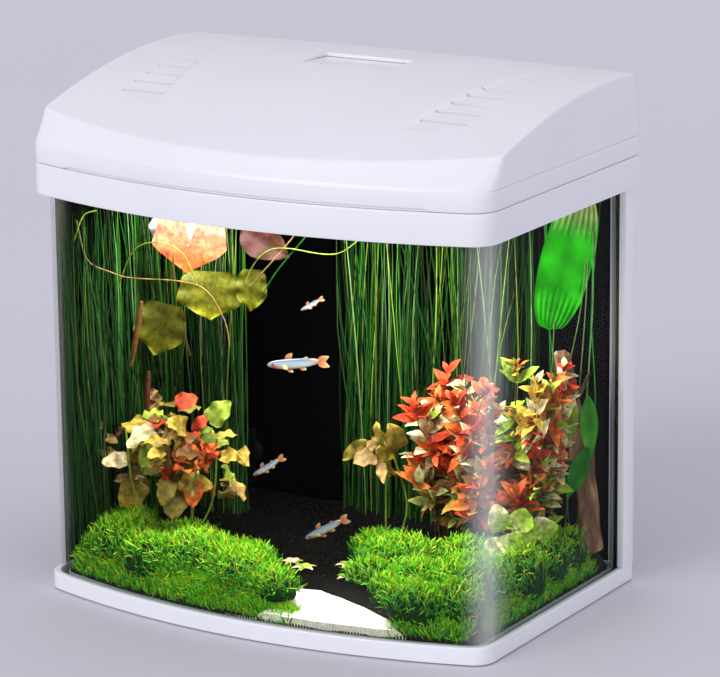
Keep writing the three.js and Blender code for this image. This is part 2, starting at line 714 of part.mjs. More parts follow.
function buildPump() {
  const { x, z, front, split, rear } = PUMP;
  const body = toSolid(box(x - 20, x + 20, split, rear, z - 22, z + 20))
    .subtract(toSolid(cylinderY(x, z, split - 1, split + 18, 7.8)))
    .subtract(toSolid(cylinderY(x, z, split + 10, split + 20.5, 1.3, 12)));
  part('pump_body', body, 'black_plastic');

  let cover = toSolid(box(x - 20, x + 20, front, split - GAP, z - 22, z + 20))
    .add(toSolid(cylinderZ(x, (front + split) / 2, z + 19, z + 30, 5)))
    .subtract(toSolid(cylinderY(x, z, front + 2.2, split + 1, 14)))
    .subtract(toSolid(cylinderZ(x, (front + split) / 2, z + 5, z + 40, 3.4)))
    .subtract(toSolid(cylinderY(x, z, front + 1, front + 3, 1.3, 12)));
  for (let i = 0; i < 5; i += 1) {
    const offset = -10 + i * 5;
    if (offset === 0) continue;
    const reach = offset * offset > 50 ? 6 : 10;
    const slot = box(x + offset - 1.2, x + offset + 1.2, front - 1, front + 3, z - reach, z + reach);
    cover = cover.subtract(toSolid(slot));
  }
  part('pump_cover', cover, 'black_plastic');

  const turning = new THREE.Group();
  turning.position.set(x, front + 3, z);
  let impeller = toSolid(cylinderY(0, 0, 0.6, 28.4, 3.4, 16)).add(toSolid(cylinderY(0, 0, 12.4, 28, 7, 24)));
  for (let i = 0; i < 6; i += 1) {
    const blade = box(0, 11.5, 0.6, 9, -0.7, 0.7);
    blade.rotateY((i * Math.PI) / 3);
    impeller = impeller.add(toSolid(blade));
  }
  impeller = impeller.subtract(toSolid(cylinderY(0, 0, -5, 40, 1.4, 12)));
  part('impeller', impeller, 'black_plastic', turning);
  part('impeller_shaft', cylinderY(0, 0, -1.7, 30.6, 1, 12), 'steel', turning);
  model.add(turning);

  const dial = toSolid(cylinderY(0, 0, -4, 0, 4.6, 18)).add(toSolid(box(-1.1, 1.1, -6.4, -3, -4.2, 4.2)));
  const dialPlace = new THREE.Group();
  dialPlace.position.set(x + 13.5, front - GAP, z + 13.5);
  part('flow_dial', dial, 'black_plastic', dialPlace);
  model.add(dialPlace);

  for (const [dx, name] of [[-11, 'left'], [11, 'right']]) {
    const reach = REAR_GLASS_FRONT - rear - 2 * GAP;
    const stem = [[0, 0], [4, 0], [4, 3], [2.4, 4]];
    const profile = [...stem, [3.4, 6], [8.4, reach - 0.6], [8.4, reach], [0, reach]];
    const cup = new THREE.LatheGeometry(profile.map((p) => new THREE.Vector2(...p)), 18);
    cup.translate(x + dx, rear + GAP, z);
    part(`suction_cup_${name}`, cup, 'rubber');
  }

  const pipe = new THREE.Shape();
  pipe.absarc(0, 0, 7, 0, 2 * Math.PI, false);
  const bore = new THREE.Path();
  bore.absarc(0, 0, 5.4, 0, 2 * Math.PI, true);
  pipe.holes.push(bore);
  const settings = { depth: 312 - (z + 21), bevelEnabled: false, curveSegments: 10 };
  const riser = new THREE.ExtrudeGeometry(pipe, settings);
  riser.translate(x, (front + split) / 2, z + 21);
  part('riser_pipe', riser, 'black_plastic');
}

function buildFilterTray() {
  const { left, right, front, rear, bottom, wall } = TRAY;
  let tray = toSolid(box(left, right, front, rear, bottom, LID_BOTTOM + 1.6))
    .subtract(toSolid(box(left + wall, right - wall, front + wall, rear - wall, bottom + wall, 340)))
    .add(toSolid(box(left, right, rear - 1, rear + 8, LID_BOTTOM, LID_BOTTOM + 1.6)))
    .subtract(toSolid(cylinderZ(PUMP.x, (PUMP.front + PUMP.split) / 2, bottom - 1, bottom + 5, 7.5)));
  for (let i = 0; i < 6; i += 1) {
    const x = right - 12 - i * 7;
    tray = tray.subtract(toSolid(box(x - 1.5, x + 1.5, front + 8, rear - 8, bottom - 1, bottom + 5)));
  }
  part('filter_tray', tray, 'black_plastic');
  const edge = wall + GAP;
  const sponge = box(-128, right - edge, front + edge, rear - edge, bottom + edge, bottom + 24);
  part('filter_sponge', sponge, 'sponge');
}

// ---------- ground, wood and plants ----------

const SAND_PATH = [[-12, -55], [14, -150], [150, -150], [112, -92], [70, -72], [22, -52]];

function sandArea(grow) {
  const centre = new THREE.Vector2(60, -95);
  const points = SAND_PATH.map((p) => {
    const point = new THREE.Vector2(...p);
    return point.add(point.clone().sub(centre).setLength(grow));
  });
  return toSolid(prism(points, 0, 60));
}

function buildGround() {
  const bed = (top) => planSolid(BED_INSET, BED_CORNER, FLOOR_Z + GAP, top);
  part('soil_bed', bed(SOIL_TOP).subtract(sandArea(0.6)), 'soil');
  part('sand_bed', bed(SAND_TOP).intersect(sandArea(0)), 'sand');
}

function mound(name, [x, y], [rx, ry, rz], finish) {
  const dome = new THREE.SphereGeometry(1, 12, 8);
  dome.scale(rx, ry, rz);
  dome.translate(x, y, SOIL_TOP + GAP);
  const over = box(x - rx - 1, x + rx + 1, y - ry - 1, y + ry + 1, SOIL_TOP + GAP, SOIL_TOP + rz + 5);
  const above = toSolid(over);
  part(name, toSolid(dome).intersect(above), finish);
}

function clump(name, [x, y, z], [rx, ry, rz], finish) {
  const body = new THREE.SphereGeometry(1, 12, 8);
  body.scale(rx, ry, rz);
  body.translate(x, y, z);
  part(name, body, finish);
}

function buildPlants() {
  const foot = SOIL_TOP + GAP;
  part('grass_left', box(-172, -160, -88, 60, foot, 288), 'grass');
  part('grass_rear_left', box(-152, -106, 42, 60, foot, 284), 'grass');
  part('grass_rear_right', box(-48, 118, 94, 112, foot, 288), 'grass');
  mound('moss_left_front', [-134, -70], [22, 26, 20], 'moss');
  mound('moss_left', [-62, -78], [46, 22, 24], 'moss');
  mound('moss_right_front', [142, -42], [26, 34, 30], 'moss');
  mound('moss_right', [74, -14], [38, 26, 26], 'moss');
  clump('stem_plants', [112, 48, 130], [52, 34, 62], 'red_leaf');
  clump('lily_left', [-104, -38, 98], [54, 28, 46], 'yellow_leaf');
  clump('lily_right', [40, 8, 112], [17, 16, 18], 'yellow_leaf');
  clump('floating_leaves', [-90, 8, 226], [46, 30, 40], 'yellow_leaf');

  const leaf = new THREE.Group();
  leaf.position.set(147, 101, 245);
  leaf.rotation.y = THREE.MathUtils.degToRad(20);
  part('broad_leaf', box(-11, 11, -3, 3, -52, 48), 'green_leaf', leaf);
  model.add(leaf);

  const branch = new THREE.CatmullRomCurve3([
    new THREE.Vector3(165, 98, foot + 4),
    new THREE.Vector3(162, 100, 80),
    new THREE.Vector3(150, 100, 130),
    new THREE.Vector3(140, 100, 178),
  ]);
  const section = new THREE.Shape();
  section.absarc(0, 0, 9, 0, 2 * Math.PI, false);
  const wood = new THREE.ExtrudeGeometry(section, { steps: 12, extrudePath: branch, curveSegments: 6 });
  part('driftwood', wood, 'wood');
}

buildBase();
buildGlass();
buildSeams();
buildPosts();
buildBackdrop();
buildRim();
buildHingeLugs();
buildLid();
buildLamp();
buildHatch();
buildSwitch();
buildPump();
buildFilterTray();
buildGround();
buildPlants();

export default model;
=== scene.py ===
"""Looks of a hooded desktop aquarium with a bow front of bent glass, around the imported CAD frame.

Shapes are worked out in millimetres and written in metres. -Y is the viewer's side, +Z is up.
"""

import math

import bpy
import numpy as np
from mathutils import Matrix, Vector


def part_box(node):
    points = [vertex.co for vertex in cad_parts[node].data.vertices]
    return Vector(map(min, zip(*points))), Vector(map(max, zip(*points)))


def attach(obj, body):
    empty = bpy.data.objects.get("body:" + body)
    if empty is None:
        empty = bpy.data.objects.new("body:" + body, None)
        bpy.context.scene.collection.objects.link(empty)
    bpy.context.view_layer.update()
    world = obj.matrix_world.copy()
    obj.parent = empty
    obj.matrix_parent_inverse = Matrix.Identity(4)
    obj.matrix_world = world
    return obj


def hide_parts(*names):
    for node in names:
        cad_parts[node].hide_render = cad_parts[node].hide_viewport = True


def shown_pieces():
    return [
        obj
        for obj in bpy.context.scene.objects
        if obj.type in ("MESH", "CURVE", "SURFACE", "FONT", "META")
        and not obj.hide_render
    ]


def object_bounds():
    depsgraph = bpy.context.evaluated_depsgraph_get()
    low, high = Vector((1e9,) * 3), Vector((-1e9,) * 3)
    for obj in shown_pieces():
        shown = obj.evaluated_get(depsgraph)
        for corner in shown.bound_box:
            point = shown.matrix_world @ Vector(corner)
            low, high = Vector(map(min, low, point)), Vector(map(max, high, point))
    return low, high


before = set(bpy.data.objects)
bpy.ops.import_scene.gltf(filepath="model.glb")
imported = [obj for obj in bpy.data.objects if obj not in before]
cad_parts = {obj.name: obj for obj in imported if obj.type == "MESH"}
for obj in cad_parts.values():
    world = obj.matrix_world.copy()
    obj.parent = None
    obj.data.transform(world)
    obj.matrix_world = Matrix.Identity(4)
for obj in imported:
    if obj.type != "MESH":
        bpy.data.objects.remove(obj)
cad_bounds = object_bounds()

MM = 0.001
draws = np.random.default_rng(20)


def box_mm(node):
    low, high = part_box(node)
    return np.array(low) / MM, np.array(high) / MM


def middle(node):
    low, high = box_mm(node)
    return (low + high) / 2


def numbered(stem, count):
    return [f"{stem}_{i + 1}" for i in range(count)]


def ease(value, low, high):
    """0 below low, 1 above high, and a smooth step between."""
    t = np.clip((value - low) / (high - low), 0, 1)
    return t * t * (3 - 2 * t)


def blended(first, second, share):
    """first where share is 0, second where it is 1, and a mixture between."""
    return np.asarray(first) * (1 - share) + np.asarray(second) * share


# ---------- driving dimensions, in millimetres ----------

HALF = cad_bounds[1].x / MM
REAR = cad_bounds[1].y / MM
BOW = 33
BOW_RADIUS = (HALF**2 + BOW**2) / (2 * BOW)
BOW_CENTRE = -REAR + BOW_RADIUS
RIM_CORNER = 20
REAR_CORNER = 1.5
GLASS_CORNER = 18
GLASS = 5
GLASS_INSET = 8
INNER_INSET = GLASS_INSET + GLASS
BED_INSET = 16.2
GAP = 0.3

BASE_LOW, BASE_HIGH = (corner[2] for corner in box_mm("base_frame"))
RIM_LOW, RIM_HIGH = (corner[2] for corner in box_mm("top_frame"))
GLASS_LOW, GLASS_HIGH = (corner[2] for corner in box_mm("front_glass"))
GLASS_REAR = box_mm("front_glass")[1][1]
LID_LOW = box_mm("lid")[0][2]
STEP_Z = 339.5
HATCH_SLOPE = 0.03
SOIL_TOP = box_mm("soil_bed")[1][2]
SAND_TOP = box_mm("sand_bed")[1][2]

STEP_REAR = 0.5
STEP_BOW = 0.9
CREASE_FRONT = -119.9
CREASE_SAGITTA = 41.1
CREASE_CORNER = 10
CREASE_RADIUS = (HALF**2 + CREASE_SAGITTA**2) / (2 * CREASE_SAGITTA)
REAR_LEAN = 7.5
TOP_REAR = REAR - STEP_REAR - REAR_LEAN
HOOD_REAR_CORNER = 3
CROWN_MIDDLE = (352.8, 89.5, -40.8, -14.5)
CROWN_SIDE = (361, 59.3, -25.9, -8.9)
LENS = {
    "front": -63.5, "widest": -28.5, "fade": 6.5, "rear": 118.5, "width": 43, "ramp": 3.4,
    "start": 116, "start_y": 11.5, "slant": 0.215,
}
LOUVRE = {
    "count": 5, "front": -44.5, "pitch": 16.7, "outer": 143.3, "growth": 3.1, "length": 37, "taper": 8.5,
    "width": 3.4,
}
HINGE_LUGS = ("hinge_lug_left", "hinge_lug_right")
ABOVE_ALL = 400

REAR_STEPS = 3
PLAN_STEPS = {"bow": 96, "corner": 16, "side": 24}
BED_STEPS = {"bow": 160, "corner": 14, "side": 100}


# ---------- node materials ----------


class Shade:
    """A material's node tree, with short calls for the nodes this scene uses."""

    def __init__(self, name):
        self.material = bpy.data.materials.new(name)
        self.material.use_nodes = True
        self.tree = self.material.node_tree
        self.tree.nodes.clear()
        self.output = self.node("ShaderNodeOutputMaterial")
        self.place = self.node("ShaderNodeTexCoord").outputs["Object"]

    def node(self, kind, inputs=(), **settings):
        made = self.tree.nodes.new(kind)
        for key, value in settings.items():
            setattr(made, key, value)
        for key, value in dict(inputs).items():
            if isinstance(value, bpy.types.NodeSocket):
                self.tree.links.new(value, made.inputs[key])
            else:
                made.inputs[key].default_value = value
        return made

    def noise(self, scale, detail=3.0, roughness=0.55, place=None):
        inputs = {"Vector": place or self.place, "Scale": scale, "Detail": detail, "Roughness": roughness}
        return self.node("ShaderNodeTexNoise", inputs).outputs["Fac"]

    def voronoi(self, scale):
        return self.node("ShaderNodeTexVoronoi", {"Vector": self.place, "Scale": scale}).outputs["Distance"]

    def stretched(self, scale):
        return self.node("ShaderNodeMapping", {"Vector": self.place, "Scale": scale}).outputs["Vector"]

    def span(self, value, low, high, start=0.0, end=1.0):
        inputs = {"Value": value, "From Min": start, "From Max": end, "To Min": low, "To Max": high}
        return self.node("ShaderNodeMapRange", inputs).outputs["Result"]

    def ramp(self, value, *stops):
        made = self.node("ShaderNodeValToRGB", {"Fac": value})
        elements = made.color_ramp.elements
        while len(elements) < len(stops):
            elements.new(0.5)
        for element, (position, colour) in zip(elements, stops):
            element.position = position
            element.color = (*colour, 1)
        return made.outputs["Color"]

    def mix(self, share, first, second, blend="MIX"):
        inputs = {0: share, 6: first, 7: second}
        for index in (6, 7):
            if not isinstance(inputs[index], bpy.types.NodeSocket):
                inputs[index] = (*inputs[index], 1)
        return self.node("ShaderNodeMix", inputs, data_type="RGBA", blend_type=blend).outputs[2]

    def math(self, operation, first, second=0.0):
        return self.node("ShaderNodeMath", {0: first, 1: second}, operation=operation).outputs[0]

    def overlay(self, share, first, second):
        """Two shaders mixed by share."""
        return self.node("ShaderNodeMixShader", {0: share, 1: first, 2: second}).outputs[0]

    def attribute(self, name, output="Color"):
        return self.node("ShaderNodeAttribute", attribute_name=name).outputs[output]

    def bump(self, height, strength, distance):
        made = self.node("ShaderNodeBump", {"Height": height, "Strength": strength, "Distance": distance})
        return made.outputs["Normal"]

    def principled(self, **inputs):
        named = {key.replace("_", " "): value for key, value in inputs.items()}
        return self.node("ShaderNodeBsdfPrincipled", named).outputs[0]

    def show(self, shader):
        self.tree.links.new(shader, self.output.inputs["Surface"])
        return self.material


def moulded(name, colour, roughness, grain=900.0, grain_depth=0.00002, coat=0.0, specular=0.5):
    """Injection-moulded plastic: a fine grain, faint flow marks in its gloss and a little colour drift."""
    shade = Shade(name)
    drift = shade.noise(9.0, 4.0)
    pale = tuple(min(c * 1.02, 1) for c in colour)
    deep = tuple(c * 0.975 for c in colour)
    return shade.show(shade.principled(
        Base_Color=shade.ramp(drift, (0.3, deep), (0.7, pale)),
        Roughness=shade.span(shade.noise(35.0, 5.0), roughness * 0.85, roughness * 1.2),
        Normal=shade.bump(shade.noise(grain, 2.0), 0.12, grain_depth),
        Coat_Weight=coat,
        Coat_Roughness=0.12,
        Specular_IOR_Level=specular,
    ))


def steel(name):
    shade = Shade(name)
    streaks = shade.noise(60.0, 3.0, place=shade.stretched((40, 1, 1)))
    return shade.show(shade.principled(
        Base_Color=shade.ramp(streaks, (0.2, (0.48, 0.49, 0.5)), (0.8, (0.66, 0.67, 0.68))),
        Metallic=1.0,
        Roughness=shade.span(streaks, 0.2, 0.38),
        Normal=shade.bump(streaks, 0.15, 0.00002),
    ))


def glass(name):
    """Clear float glass. Its bent corners carry a painted highlight, soft and white, whose strength each
    point holds in an attribute.
    """
    shade = Shade(name)
    clear = shade.node("ShaderNodeBsdfTransparent", {"Color": (0.972, 0.984, 0.978, 1)}).outputs[0]
    polish = {"Color": (1, 1, 1, 1), "Roughness": shade.span(shade.noise(14.0), 0.01, 0.03)}
    mirror = shade.node("ShaderNodeBsdfGlossy", polish).outputs[0]
    facing = shade.node("ShaderNodeLayerWeight", {"Blend": 0.5}).outputs["Facing"]
    gloss = shade.math("ADD", shade.math("MULTIPLY", shade.math("POWER", facing, 6.0), 0.25), 0.0015)
    pane = shade.overlay(gloss, clear, mirror)
    # Painted highlight: a white diffuse layer over the pane, streaked along its height, as strong as the
    # point attribute says.
    streaks = shade.noise(22.0, 4.0, place=shade.stretched((1, 1, 0.06)))
    painted_glint = shade.attribute("painted_glint", "Fac")
    painted_highlight = shade.math("MULTIPLY", painted_glint, shade.span(streaks, 0.75, 1.15, 0.3, 0.7))
    white = shade.principled(Base_Color=(0.95, 0.97, 0.96, 1), Roughness=0.25)
    return shade.show(shade.overlay(painted_highlight, pane, white))


def frosted_cover(name):
    shade = Shade(name)
    clear = shade.node("ShaderNodeBsdfTransparent", {"Color": (0.95, 0.97, 1, 1)}).outputs[0]
    prisms = shade.math("SINE", shade.math("MULTIPLY", shade.node(
        "ShaderNodeSeparateXYZ", {"Vector": shade.place}).outputs["X"], 2400.0))
    body = shade.principled(
        Base_Color=(0.85, 0.87, 0.9, 1),
        Roughness=shade.span(shade.noise(50.0), 0.12, 0.25),
        Normal=shade.bump(prisms, 0.4, 0.0002),
    )
    return shade.show(shade.overlay(0.35, clear, body))


def foliage(name, roughness=0.45, glow=0.25, mottle=260.0, contrast=0.35):
    """Living leaf: the piece's own tint, mottled, with light passing through the blade."""
    shade = Shade(name)
    tint = shade.attribute("tint")
    spots = shade.noise(mottle, 4.0)
    shadow = shade.mix(1.0, tint, (1 - contrast,) * 3, "MULTIPLY")
    light = shade.mix(1.0, tint, (1 + contrast * 0.6,) * 3, "MULTIPLY")
    colour = shade.mix(shade.span(spots, 0, 1, 0.32, 0.68), shadow, light)
    solid = shade.principled(
        Base_Color=colour,
        Specular_IOR_Level=0.14,
        Roughness=shade.span(spots, roughness * 0.8, roughness * 1.25),
        Normal=shade.bump(shade.noise(mottle * 2.5, 3.0), 0.4, 0.0002),
    )
    through = shade.node("ShaderNodeBsdfTranslucent", {"Color": colour}).outputs[0]
    return shade.show(shade.overlay(glow, solid, through))


def earthy(name, dark, pale, grain, depth=0.0012):
    """Loose ground: pale grains with painted shade in the dark gaps between them, in lighter and darker
    patches.
    """
    shade = Shade(name)
    cells = shade.voronoi(grain)
    patches = shade.noise(grain * 0.18, 5.0)
    # Painted shade: darker towards the edge of each grain, where the gaps between grains lie.
    colour = shade.mix(shade.span(cells, 0, 1, 0.1, 0.75), pale, dark)
    toned = shade.mix(shade.span(patches, 0.0, 0.6, 0.3, 0.7), colour, tuple(c * 0.6 for c in dark))
    return shade.show(shade.principled(
        Base_Color=toned,
        Roughness=shade.span(patches, 0.8075, 0.95),
        Normal=shade.bump(shade.span(cells, 1, 0), 0.7, depth),
    ))


def bark(name):
    shade = Shade(name)
    along = shade.stretched((1, 1, 0.16))
    grooves = shade.noise(160.0, 6.0, 0.65, place=along)
    patches = shade.noise(45.0, 4.0)
    browns = (0.32, (0.02, 0.01, 0.005)), (0.52, (0.16, 0.075, 0.03)), (0.72, (0.42, 0.24, 0.1))
    base = shade.ramp(grooves, *browns)
    mossy = shade.mix(shade.span(patches, 0, 0.75, 0.56, 0.72), base, (0.035, 0.06, 0.01))
    return shade.show(shade.principled(
        Base_Color=mossy,
        Roughness=shade.span(grooves, 0.95, 0.6),
        Normal=shade.bump(grooves, 0.9, 0.002),
    ))


def porous(name, colour):
    shade = Shade(name)
    cells = shade.voronoi(420.0)
    deep = tuple(c * 0.2 for c in colour)
    return shade.show(shade.principled(
        Base_Color=shade.mix(shade.span(cells, 0, 1, 0.2, 0.6), colour, deep),
        Roughness=shade.span(shade.noise(80.0), 0.85, 1.0),
        Normal=shade.bump(cells, 1.0, 0.0012),
    ))


def circuit(name):
    shade = Shade(name)
    pads = shade.voronoi(160.0)
    return shade.show(shade.principled(
        Base_Color=shade.ramp(pads, (0.12, (0.62, 0.6, 0.42)), (0.2, (0.72, 0.75, 0.74))),
        Roughness=shade.span(shade.noise(60.0), 0.3, 0.5),
        Normal=shade.bump(pads, 0.2, 0.0001),
    ))


def scales(name):
    """Fish skin: the tint attribute under small overlapping scales with a silvery gloss."""
    shade = Shade(name)
    cells = shade.voronoi(1500.0)
    tint = shade.attribute("tint")
    return shade.show(shade.principled(
        Base_Color=shade.mix(shade.span(cells, 0, 0.5, 0.1, 0.6), tint, (0.8, 0.9, 1.0), "SOFT_LIGHT"),
        Metallic=0.25,
        Roughness=shade.span(cells, 0.25, 0.45),
        Normal=shade.bump(cells, 0.4, 0.0001),
    ))


def pale_floor(name):
    shade = Shade(name)
    drift = shade.noise(1.3, 3.0)
    return shade.show(shade.principled(
        Base_Color=shade.ramp(drift, (0.3, (0.635, 0.62, 0.695)), (0.7, (0.645, 0.63, 0.705))),
        Roughness=shade.span(drift, 0.85, 0.95),
    ))


WHITE = moulded("white_plastic", (0.79, 0.79, 0.85), 0.3, coat=0.25)
BLACK = moulded("black_plastic", (0.012, 0.013, 0.015), 0.42, grain=1400.0)
RUBBER = moulded("foot_rubber", (0.03, 0.03, 0.032), 0.85, grain=700.0, grain_depth=0.00008)
SILICONE = moulded("silicone", (0.42, 0.46, 0.47), 0.35, grain=300.0)
FILM = moulded("black_film", (0.0012, 0.0012, 0.0015), 0.6, grain=1800.0, specular=0.04)
STEEL = steel("steel")
GLASS_LOOK = glass("glass")
COVER = frosted_cover("clear_cover")
BOARD = circuit("circuit_board")
SPONGE = porous("filter_foam", (0.03, 0.032, 0.036))
SOIL = earthy("aquasoil", (0.002, 0.0013, 0.0008), (0.016, 0.009, 0.005), 420.0)
SAND = earthy("sand", (0.66, 0.6, 0.45), (0.98, 0.95, 0.86), 900.0, depth=0.0004)
WOOD = bark("driftwood")
GRASS = foliage("grass", roughness=0.4, glow=0.2, contrast=0.25)
MOSS = foliage("moss", roughness=0.6, glow=0.2, mottle=500.0)
LEAVES = foliage("leaves", roughness=0.55, glow=0.35, contrast=0.5)
BROAD = foliage("broad_leaf", roughness=0.45, glow=0.35, mottle=90.0, contrast=0.3)
FISH = scales("fish_skin")


# ---------- making pieces ----------


def tidy_shading(mesh, angle):
    mesh.shade_smooth()
    mesh.set_sharp_from_angle(angle=math.radians(angle))


def mesh_mm(name, points, faces):
    mesh = bpy.data.meshes.new(name)
    mesh.from_pydata(np.asarray(points, float) * MM, [], faces)
    return mesh


def add_object(name, data):
    made = bpy.data.objects.new(name, data)
    bpy.context.scene.collection.objects.link(made)
    return made


def piece(name, points, faces, material, body="tank", replaces=(), slot=None, tint=None, angle=35):
    """A mesh object from points in millimetres, riding on a CAD body."""
    mesh = mesh_mm(name, points, faces)
    mesh.materials.append(material)
    if tint is not None:
        layer = mesh.attributes.new("tint", "FLOAT_COLOR", "POINT")
        rgba = np.ones((len(mesh.vertices), 4), np.float32)
        rgba[:, :3] = tint
        layer.data.foreach_set("color", rgba.ravel())
    tidy_shading(mesh, angle)
    made = add_object(name, mesh)
    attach(made, body)
    if replaces:
        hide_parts(*replaces)
    return made


def carve(target, solids):
    """Cuts closed solids, each given as points and faces, out of target."""
    tools = [add_object("cutter", mesh_mm("cutter", *solid)) for solid in solids]
    for tool in tools:
        cut = target.modifiers.new("cut", "BOOLEAN")
        cut.operation = "DIFFERENCE"
        cut.solver = "MANIFOLD"
        cut.object = tool
    bpy.context.view_layer.update()
    evaluated = target.evaluated_get(bpy.context.evaluated_depsgraph_get())
    carved = bpy.data.meshes.new_from_object(evaluated)
    target.modifiers.clear()
    old, target.data = target.data, carved
    bpy.data.meshes.remove(old)
    for tool in tools:
        bpy.data.objects.remove(tool)
    tidy_shading(target.data, 32)


def at_height(ring, z):
    """A plan ring at one height, or with a height for each point."""
    return np.column_stack([ring, np.broadcast_to(z, len(ring))])


def shifted(faces, start):
    return [tuple(start + i for i in face) for face in faces]


def loop_faces(rings, count, closed_profile=False):
    """Quads between rings of count points each. Rings follow one another in the point list."""
    faces = []
    for k in range(rings if closed_profile else rings - 1):
        low, high = k * count, ((k + 1) % rings) * count
        for i in range(count):
            j = (i + 1) % count
            faces.append((low + i, low + j, high + j, high + i))
    return faces


def caps(rings, count):
    """The two end faces of a stack of rings."""
    last = (rings - 1) * count
    return [tuple(range(count))[::-1], tuple(range(last, last + count))]


def prism(points, z0, z1):
    """Points and faces of a closed prism over a plan outline that runs anticlockwise."""
    points = np.asarray(points, float)
    count = len(points)
    return np.vstack([at_height(points, z) for z in (z0, z1)]), loop_faces(2, count) + caps(2, count)


def box(x0, x1, y0, y1, z0, z1):
    return prism([(x0, y0), (x1, y0), (x1, y1), (x0, y1)], z0, z1)


def round_profile(profile):
    """Rounds the corners of a closed profile, given as (across, up, radius) corners."""
    steps = 4
    corners = [np.array(p[:2], float) for p in profile]
    points = []
    for i, (here, (*_, radius)) in enumerate(zip(corners, profile)):
        if radius <= 0:
            points.append(here)
            continue
        before = corners[i - 1] - here
        after = corners[(i + 1) % len(corners)] - here
        first = here + before / np.linalg.norm(before) * radius
        last = here + after / np.linalg.norm(after) * radius
        for t in np.linspace(0, 1, steps + 1):
            points.append((1 - t) ** 2 * first + 2 * t * (1 - t) * here + t**2 * last)
    return points


# ---------- plan outline ----------


def arc(cx, cy, radius, start, end, steps):
    angles = np.linspace(start, end, steps + 1)
    return np.column_stack([cx + radius * np.cos(angles), cy + radius * np.sin(angles)])


def circle(x, y, radius, steps):
    return arc(x, y, radius, 0, 2 * math.pi, steps)[:-1]


def line(start, end, steps):
    return np.linspace(start, end, steps + 1)


def outline_runs(half, rear, bow_radius, bow_centre, corner, rear_corner, steps):
    """Front, right, back and left runs of the plan, each from the middle of a corner to the next."""
    fillet_x = half - corner
    fillet_y = bow_centre - math.sqrt((bow_radius - corner) ** 2 - fillet_x**2)
    join = math.atan2(fillet_y - bow_centre, fillet_x)
    bend = join / 2
    inner, rear_middle = half - rear_corner, rear - rear_corner
    turn = steps["corner"] // 2
    quarter = math.pi / 4
    front = np.vstack([
        arc(-fillet_x, fillet_y, corner, -math.pi - bend, -math.pi - join, turn)[:-1],
        arc(0, bow_centre, bow_radius, -math.pi - join, join, steps["bow"])[:-1],
        arc(fillet_x, fillet_y, corner, join, bend, turn),
    ])
    right = np.vstack([
        arc(fillet_x, fillet_y, corner, bend, 0, turn)[:-1],
        line((half, fillet_y), (half, rear_middle), steps["side"])[:-1],
        arc(inner, rear_middle, rear_corner, 0, quarter, REAR_STEPS),
    ])
    width = steps["bow"] + 2 * turn - 2 * REAR_STEPS
    back = np.vstack([
        arc(-inner, rear_middle, rear_corner, 3 * quarter, 2 * quarter, REAR_STEPS)[:-1],
        line((-inner, rear), (inner, rear), width)[:-1],
        arc(inner, rear_middle, rear_corner, 2 * quarter, quarter, REAR_STEPS),
    ])
    return {"front": front, "right": right, "back": back, "left": right * (-1, 1)}


def close_runs(runs):
    backwards = [runs[name][::-1][:-1] for name in ("back", "left")]
    return np.vstack([runs["front"][:-1], runs["right"][:-1], *backwards])


def plan(inset, corner, rear_inset):
    """The tank's outline moved inwards by inset, and by rear_inset at the rear."""
    runs = outline_runs(
        HALF - inset, REAR - rear_inset, BOW_RADIUS - inset, BOW_CENTRE, corner, REAR_CORNER, PLAN_STEPS)
    return close_runs(runs)


def coons(runs):
    """A grid of plan points between four runs."""
    columns, rows = len(runs["front"]), len(runs["right"])
    s = np.linspace(0, 1, columns)[None, :, None]
    t = np.linspace(0, 1, rows)[:, None, None]
    front, back = runs["front"][None], runs["back"][None]
    left, right = runs["left"][:, None], runs["right"][:, None]
    corners = (
        front[:, :1] * (1 - s) * (1 - t)
        + front[:, -1:] * s * (1 - t)
        + back[:, :1] * (1 - s) * t
        + back[:, -1:] * s * t
    )
    return front * (1 - t) + back * t + left * (1 - s) + right * s - corners


def grid_faces(rows, columns, start=0, flip=False):
    r, c = np.meshgrid(np.arange(rows - 1), np.arange(columns - 1), indexing="ij")
    a = (start + r * columns + c).ravel()
    quads = np.column_stack([a, a + 1, a + columns + 1, a + columns])
    return [tuple(quad) for quad in (quads[:, ::-1] if flip else quads).tolist()]


def border(rows, columns, start=0):
    """Indices round the edge of a grid, in the order of close_runs."""
    grid = start + np.arange(rows * columns).reshape(rows, columns)
    sides = (grid[0, :-1], grid[:-1, -1], grid[-1, :0:-1], grid[:0:-1, 0])
    return np.concatenate(sides).tolist()


def stitched(ring_start, count, edge):
    """Quads from a ring to the border of a grid."""
    after = [(i + 1) % count for i in range(count)]
    return [(ring_start + i, ring_start + j, edge[j], edge[i]) for i, j in enumerate(after)]


# ---------- frames and glass ----------


def rings_round(profile, insets, corners, rear_insets):
    """Plan rings for a profile of (inset, z) points. Corner radius and rear inset go by the inset."""
    rings = []
    for across, up in profile:
        corner, rear_inset = (np.interp(across, insets, values) for values in (corners, rear_insets))
        rings.append(at_height(plan(across, corner, rear_inset), up))
    return rings


def build_base():
    """A tray with a rounded outer edge, a ledge round the glass and a recess over each foot pad."""
    inset, wall, floor_inset = 3.7, GLASS_INSET - GAP, 60
    ledge = GLASS_LOW - GAP
    profile = round_profile([
        (inset, BASE_LOW, 0.8), (inset, BASE_HIGH, 1.4), (wall, BASE_HIGH, 0.5), (wall, ledge, 0.3),
        (floor_inset, 0, 0),
    ])[:-1]
    rings = rings_round(profile, (inset, wall), (17, GLASS_CORNER + GAP), (0, wall))
    count = len(rings[0])
    faces = loop_faces(len(rings), count) + caps(len(rings), count)
    base = piece("base_tray", np.vstack(rings), faces, WHITE, replaces=["base_frame"], slot="white_plastic")
    recesses = []
    for pad in numbered("foot_pad", 4):
        low, high = box_mm(pad)
        outline = circle(*middle(pad)[:2], (high - low)[0] / 2 + 0.4, 36)
        recesses.append(prism(outline, -5, high[2] + GAP))
    carve(base, recesses)


